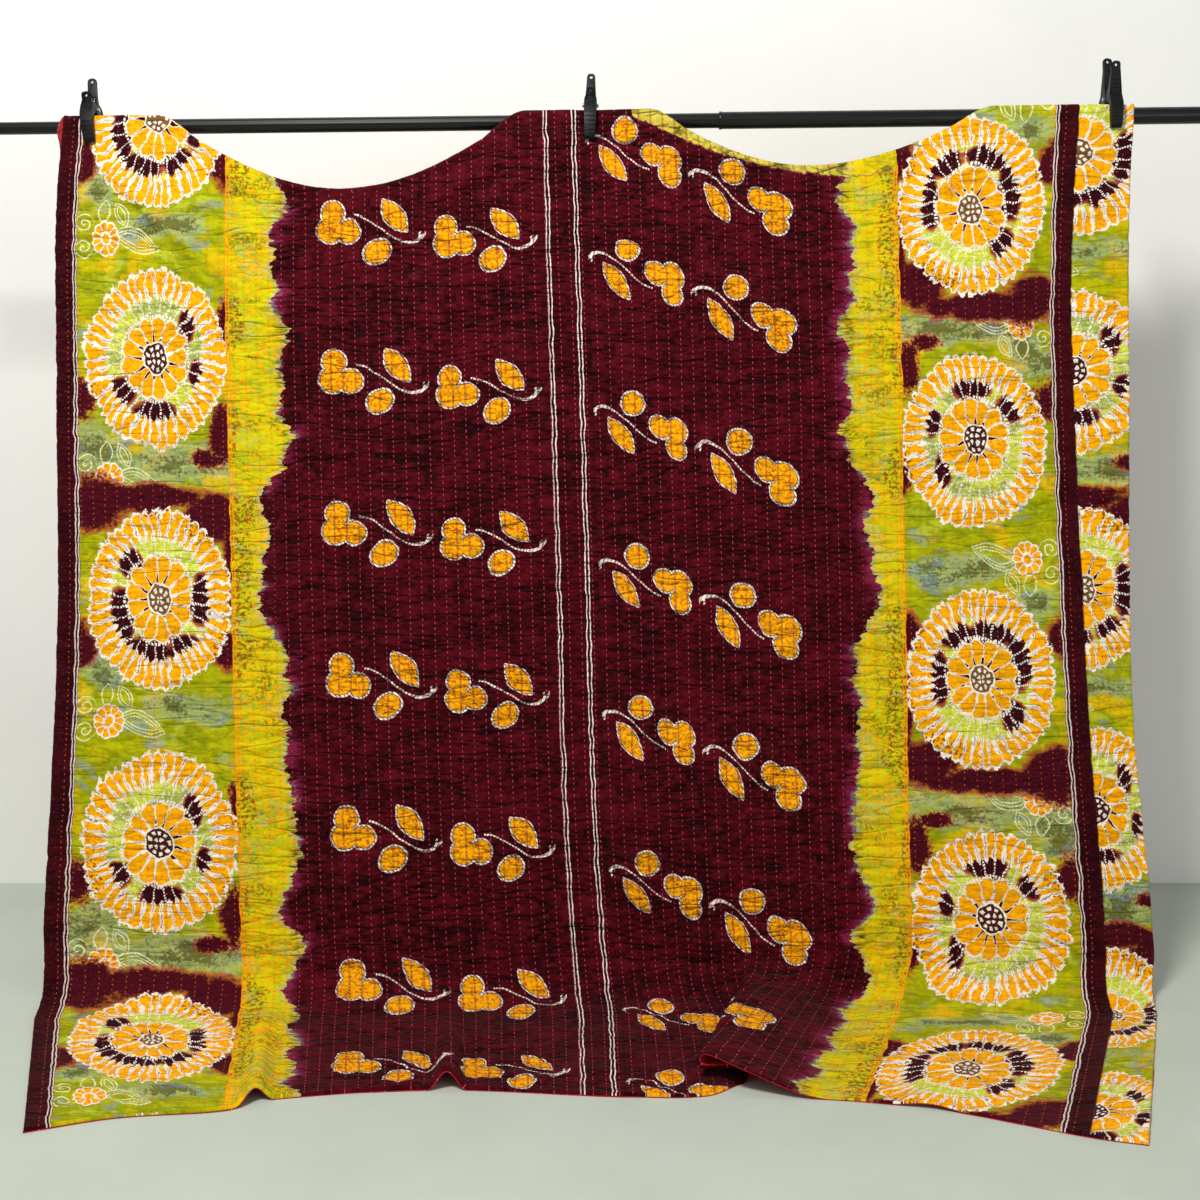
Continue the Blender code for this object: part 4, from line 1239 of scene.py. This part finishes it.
def clamp_half(name, outline, ribs, hole_z, hole_y, place):
    """A clamp half with rounded edges, grip ribs on its jaw and a hole at the handle's end."""
    shape = bmesh.new()
    top = max(z for _, z in outline)
    verts = [shape.verts.new((0.0, y, z)) for y, z in finer(with_round_end(outline, top), top)]
    face = shape.faces.new(verts)
    bmesh.ops.triangulate(shape, faces=[face])
    grown = bmesh.ops.extrude_face_region(shape, geom=shape.faces[:])
    far = {v for v in grown["geom"] if isinstance(v, bmesh.types.BMVert)}
    for v in shape.verts:
        half = half_width(v.co.z, top)
        v.co.x = half if v in far else -half
    face_outward(shape)
    thing = mesh_object(name, shape)
    hole = bmesh.new()
    bmesh.ops.create_cone(hole, cap_ends=True, segments=20, radius1=0.0031, radius2=0.0031, depth=0.05)
    for v in hole.verts:
        v.co = Vector((v.co.x, hole_y + v.co.z, hole_z + v.co.y))
    face_outward(hole)
    cutter = mesh_object(name + "_hole", hole)
    cut = thing.modifiers.new("hole", "BOOLEAN")
    cut.operation = "DIFFERENCE"
    cut.object = cutter
    cut.solver = "MANIFOLD"
    apply_modifiers(thing)
    bpy.data.objects.remove(cutter)
    shape = bmesh.new()
    shape.from_mesh(thing.data)
    bmesh.ops.dissolve_limit(shape, angle_limit=0.02, verts=shape.verts, edges=shape.edges)
    shape.to_mesh(thing.data)
    shape.free()
    soft = thing.modifiers.new("round", "BEVEL")
    soft.width = 0.0011
    soft.segments = 3
    soft.limit_method = "ANGLE"
    soft.angle_limit = math.radians(28)
    apply_modifiers(thing)
    shape = bmesh.new()
    shape.from_mesh(thing.data)
    for y, z, half, radius in ribs:
        add_bar(shape, (-half, y, z), (half, y, z), radius)
    for f in shape.faces:
        f.smooth = True
    shape.to_mesh(thing.data)
    shape.free()
    thing.data.set_sharp_from_angle(angle=math.radians(38))
    thing.data.transform(place)
    return thing


def tube_along(name, points, radius, resolution=6):
    curve = bpy.data.curves.new(name, "CURVE")
    curve.dimensions = "3D"
    curve.bevel_depth = radius
    curve.bevel_resolution = 3
    curve.resolution_u = resolution
    curve.use_fill_caps = True
    spline = curve.splines.new("POLY")
    spline.points.add(len(points) - 1)
    for spot, point in zip(spline.points, points):
        spot.co = (*point, 1.0)
    thing = bpy.data.objects.new(name, curve)
    bpy.context.collection.objects.link(thing)
    seen = thing.evaluated_get(bpy.context.evaluated_depsgraph_get())
    mesh = bpy.data.meshes.new_from_object(seen)
    bpy.data.objects.remove(thing)
    bpy.data.curves.remove(curve)
    mesh.shade_smooth()
    thing = bpy.data.objects.new(name, mesh)
    bpy.context.collection.objects.link(thing)
    return thing


def along(first, second, share):
    return (first[0] + (second[0] - first[0]) * share, first[1] + (second[1] - first[1]) * share)


def build_clamp(spec, plastic, steel):
    jaw = spec["jaw"]
    front, back = clamp_outlines(spec)
    place = Matrix.Translation((spec["x"], ROD_Y, ROD_AXIS_Z + ROD_RISE * spec["x"]))
    place = place @ Matrix.Rotation(math.atan(spec["lean"]), 4, "Y")
    grip_top, grip_low = (-0.061, 0.004), front[16]
    ribs = []
    for k in range(5):
        y, z = along(grip_top, grip_low, 0.06 + 0.21 * k)
        ribs.append((y + 0.0003, z, JAW_HALF_WIDTH - 0.0014, 0.0013))
    y, z = along((-0.036, PIN_Z + 0.014), (-0.052, 0.022), 0.5)
    ribs.append((y + 0.0002, z, HANDLE_HALF_WIDTH, 0.0013))
    for k in range(3):
        y, z = along((-0.036, PIN_Z + 0.014), (-0.040, spec["front_top"] - 0.003), 0.10 + 0.14 * k)
        ribs.append((y + 0.0002, z, HANDLE_HALF_WIDTH - 0.002, 0.0010))
    first = clamp_half(spec["name"] + "_jaw_front", front, ribs,
                       spec["front_top"] - ROUND_END, -0.037, place)
    radius = ROD_RADIUS[spec["rod"]]
    ribs = []
    for k in range(4):
        y, z = along((radius + 0.016, 0.004), (radius + 0.012, -jaw + 0.010), 0.12 + 0.25 * k)
        ribs.append((y - 0.0003, z, JAW_HALF_WIDTH - 0.0014, 0.0013))
    for k in range(4):
        y, z = along((0.010, PIN_Z + 0.014), (0.022, spec["back_top"] - 0.003), 0.20 + 0.14 * k)
        ribs.append((y - 0.0002, z, HANDLE_HALF_WIDTH - 0.002, 0.0010))
    second = clamp_half(spec["name"] + "_jaw_back", back, ribs,
                        spec["back_top"] - ROUND_END, 0.018, place)
    # A wire spring: turns round the pin, with an arm against each handle.
    points = []
    turns, per_turn = 5, 20
    start_angle = math.radians(118)
    for k in range(turns * per_turn + 1):
        angle = start_angle + 2 * math.pi * k / per_turn
        x = -0.0058 + 0.0116 * k / (turns * per_turn)
        points.append(Vector((x, PIN_Y + 0.0062 * math.cos(angle), PIN_Z + 0.0062 * math.sin(angle))))
    arm = min(spec["front_top"], spec["back_top"]) - 0.010
    points.insert(0, Vector((-0.0058, -0.0245, arm)))
    points.append(Vector((0.0058, -0.0005, arm + 0.002)))
    spring = tube_along(spec["name"] + "_spring", [place @ p for p in points], 0.0008)
    for thing, finish in ((first, plastic), (second, plastic), (spring, steel)):
        thing.data.materials.clear()
        thing.data.materials.append(finish)
        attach(thing, "root")
    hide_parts(spec["name"] + "_front")
    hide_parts(spec["name"] + "_back")


def object_place(tree):
    return parts_of(tree, tree.nodes.new("ShaderNodeTexCoord").outputs["Object"])


def moulded_plastic():
    material, tree, shader = new_material("black_moulded_plastic")
    place = vector(*object_place(tree))
    wear = noise(place, 60.0, 3.0, 0.6)
    colour = blend((9, 9, 10), (34, 33, 33), wear.ramp(0.56, 0.78) * 0.6)
    set_inputs(shader, colour, 0.34 + wear * 0.22, Specular_IOR_Level=0.24)
    bump(shader, noise(place, 900.0, 2.0, 0.6), 0.0004, 0.35)
    return material


def painted_tube():
    material, tree, shader = new_material("black_painted_tube")
    x, y, z = object_place(tree)
    drawn = noise(vector(x * 3.0, y * 260.0, z * 260.0), 1.0, 3.0, 0.6)
    speck = noise(vector(x, y, z), 420.0, 2.0, 0.7)
    colour = blend((9, 9, 10), (34, 33, 33), speck.ramp(0.60, 0.80) * 0.5)
    set_inputs(shader, colour, 0.20 + drawn * 0.20,
               Specular_IOR_Level=0.32, Coat_Weight=0.10, Coat_Roughness=0.15)
    bump(shader, drawn * 0.5 + speck * 0.2, 0.0003, 0.3)
    return material


def bare_steel():
    material, tree, shader = new_material("bare_steel_wire")
    x, y, z = object_place(tree)
    drawn = noise(vector(x * 40.0, y * 700.0, z * 700.0), 1.0)
    colour = blend((196, 196, 198), (150, 150, 152), drawn.ramp(0.4, 0.7))
    set_inputs(shader, colour, 0.22 + drawn * 0.2, Metallic=1.0)
    return material


def rod_ring(name, x, radius, width, finish):
    """A rolled lip round the rod."""
    shape = bmesh.new()
    profile = [(-0.5, 0.0), (-0.5, 0.55), (-0.36, 0.9), (-0.15, 1.0), (0.15, 1.0), (0.36, 0.9),
               (0.5, 0.55), (0.5, 0.0)]
    rings = []
    for share, height in profile:
        reach, px = radius + 0.0009 * height, x + width * share
        rings.append([shape.verts.new((px, ROD_Y + reach * math.cos(angle),
                                       ROD_AXIS_Z + ROD_RISE * px + reach * math.sin(angle)))
                      for angle in (2 * math.pi * k / 40 for k in range(40))])
    join_rings(shape, rings + rings[:1])
    bmesh.ops.recalc_face_normals(shape, faces=shape.faces)
    for face in shape.faces:
        face.smooth = True
    thing = mesh_object(name, shape)
    thing.data.materials.append(finish)
    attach(thing, "root")


# ======================= camera, stage and lights =======================

def add_camera():
    camera = bpy.data.cameras.new("camera")
    camera.sensor_width = 36.0
    camera.lens = 1489.0 * 36.0 / 1200.0
    thing = bpy.data.objects.new("camera", camera)
    bpy.context.collection.objects.link(thing)
    thing.location = (0.0, ROD_Y - 3.15, 1.155)
    thing.rotation_euler = (math.radians(83.0), 0.0, 0.0)
    bpy.context.scene.camera = thing


def stage_material(name, colour, second, scale):
    material, tree, shader = new_material(name)
    cloud = noise(vector(*object_place(tree)), scale, 4.0, 0.6)
    set_inputs(shader, blend(colour, second, cloud.ramp(0.3, 0.7)), 0.75)
    return material


def add_stage():
    """The floor and the wall; the wall's far side lets the object be seen from behind."""
    wall_y = ROD_Y + 0.456
    floor_corners = ((-7.0, -7.0, 0.0), (7.0, -7.0, 0.0), (7.0, 7.0, 0.0), (-7.0, 7.0, 0.0))
    wall_corners = ((-7.0, wall_y, 0.0), (7.0, wall_y, 0.0), (7.0, wall_y, 5.0), (-7.0, wall_y, 5.0))
    finishes = (stage_material("pale_floor", (186, 195, 183), (180, 189, 177), 3.0),
                stage_material("pale_wall", (240, 240, 236), (235, 236, 232), 2.0))
    for name, corners, finish in zip(("floor", "wall"), (floor_corners, wall_corners), finishes):
        shape = bmesh.new()
        shape.faces.new([shape.verts.new(corner) for corner in corners])
        thing = mesh_object(name, shape)
        thing.data.materials.append(finish)
    tree = finishes[1].node_tree
    side = tree.nodes.new("ShaderNodeNewGeometry")
    clear = tree.nodes.new("ShaderNodeBsdfTransparent")
    either_side = tree.nodes.new("ShaderNodeMixShader")
    tree.links.new(side.outputs["Backfacing"], either_side.inputs[0])
    tree.links.new(tree.nodes["Principled BSDF"].outputs[0], either_side.inputs[1])
    tree.links.new(clear.outputs[0], either_side.inputs[2])
    tree.links.new(either_side.outputs[0], tree.nodes["Material Output"].inputs["Surface"])


def add_light(name, place, aim, size, power, colour):
    light = bpy.data.lights.new(name, "AREA")
    light.shape = "DISK"
    light.size = size
    light.energy = power
    light.color = colour
    thing = bpy.data.objects.new(name, light)
    bpy.context.collection.objects.link(thing)
    thing.location = place
    thing.rotation_euler = (Vector(aim) - Vector(place)).to_track_quat("-Z", "Y").to_euler()


def add_lights():
    add_light("key", (-1.0, -2.3, 4.0), (0.0, 0.2, 0.9), 0.9, 165.0, (1.0, 0.98, 0.95))
    add_light("fill", (2.4, -3.2, 1.8), (0.1, 0.2, 0.8), 2.6, 20.0, (0.95, 0.98, 1.0))
    world = bpy.data.worlds.new("studio")
    world.use_nodes = True
    world.node_tree.nodes["Background"].inputs[0].default_value = (0.97, 0.98, 1.0, 1.0)
    world.node_tree.nodes["Background"].inputs[1].default_value = 0.40
    bpy.context.scene.world = world
    bpy.context.scene.view_settings.view_transform = "Standard"
    bpy.context.scene.view_settings.look = "None"


# ======================= putting it together =======================

def build():
    add_camera()
    add_stage()
    add_lights()
    cottons = [printed_cotton(part) for part in PRINT_PARTS]
    for name, first, last, fine in (("panel_left", 0, SEAM_COLUMN, 2),
                                    ("panel_right", SEAM_COLUMN, SIDE_SEAM_COLUMN, 2),
                                    ("panel_side", SIDE_SEAM_COLUMN, COLUMNS, 4)):
        cloth = cloth_panel(name, first, last, fine)
        for cotton in cottons:
            cloth.data.materials.append(cotton)
        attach(cloth, "root")
        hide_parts(name)
    reverse = cloth_backing()
    reverse.data.materials.append(red_cotton())
    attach(reverse, "root")
    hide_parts("backing")

    plastic, tube, steel = moulded_plastic(), painted_tube(), bare_steel()
    for spec in CLAMPS:
        build_clamp(spec, plastic, steel)
    for name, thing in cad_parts.items():
        if name.startswith("rod_") or name.endswith("_pin"):
            thing.data.materials.clear()
            thing.data.materials.append(tube if name.startswith("rod_") else steel)
    rod_ring("rod_lip_left", ROD_STEP_LEFT + 0.003, ROD_RADIUS["rod_middle"], 0.006, tube)
    rod_ring("rod_lip_right", ROD_STEP_RIGHT + 0.003, ROD_RADIUS["rod_right"], 0.006, tube)


build()
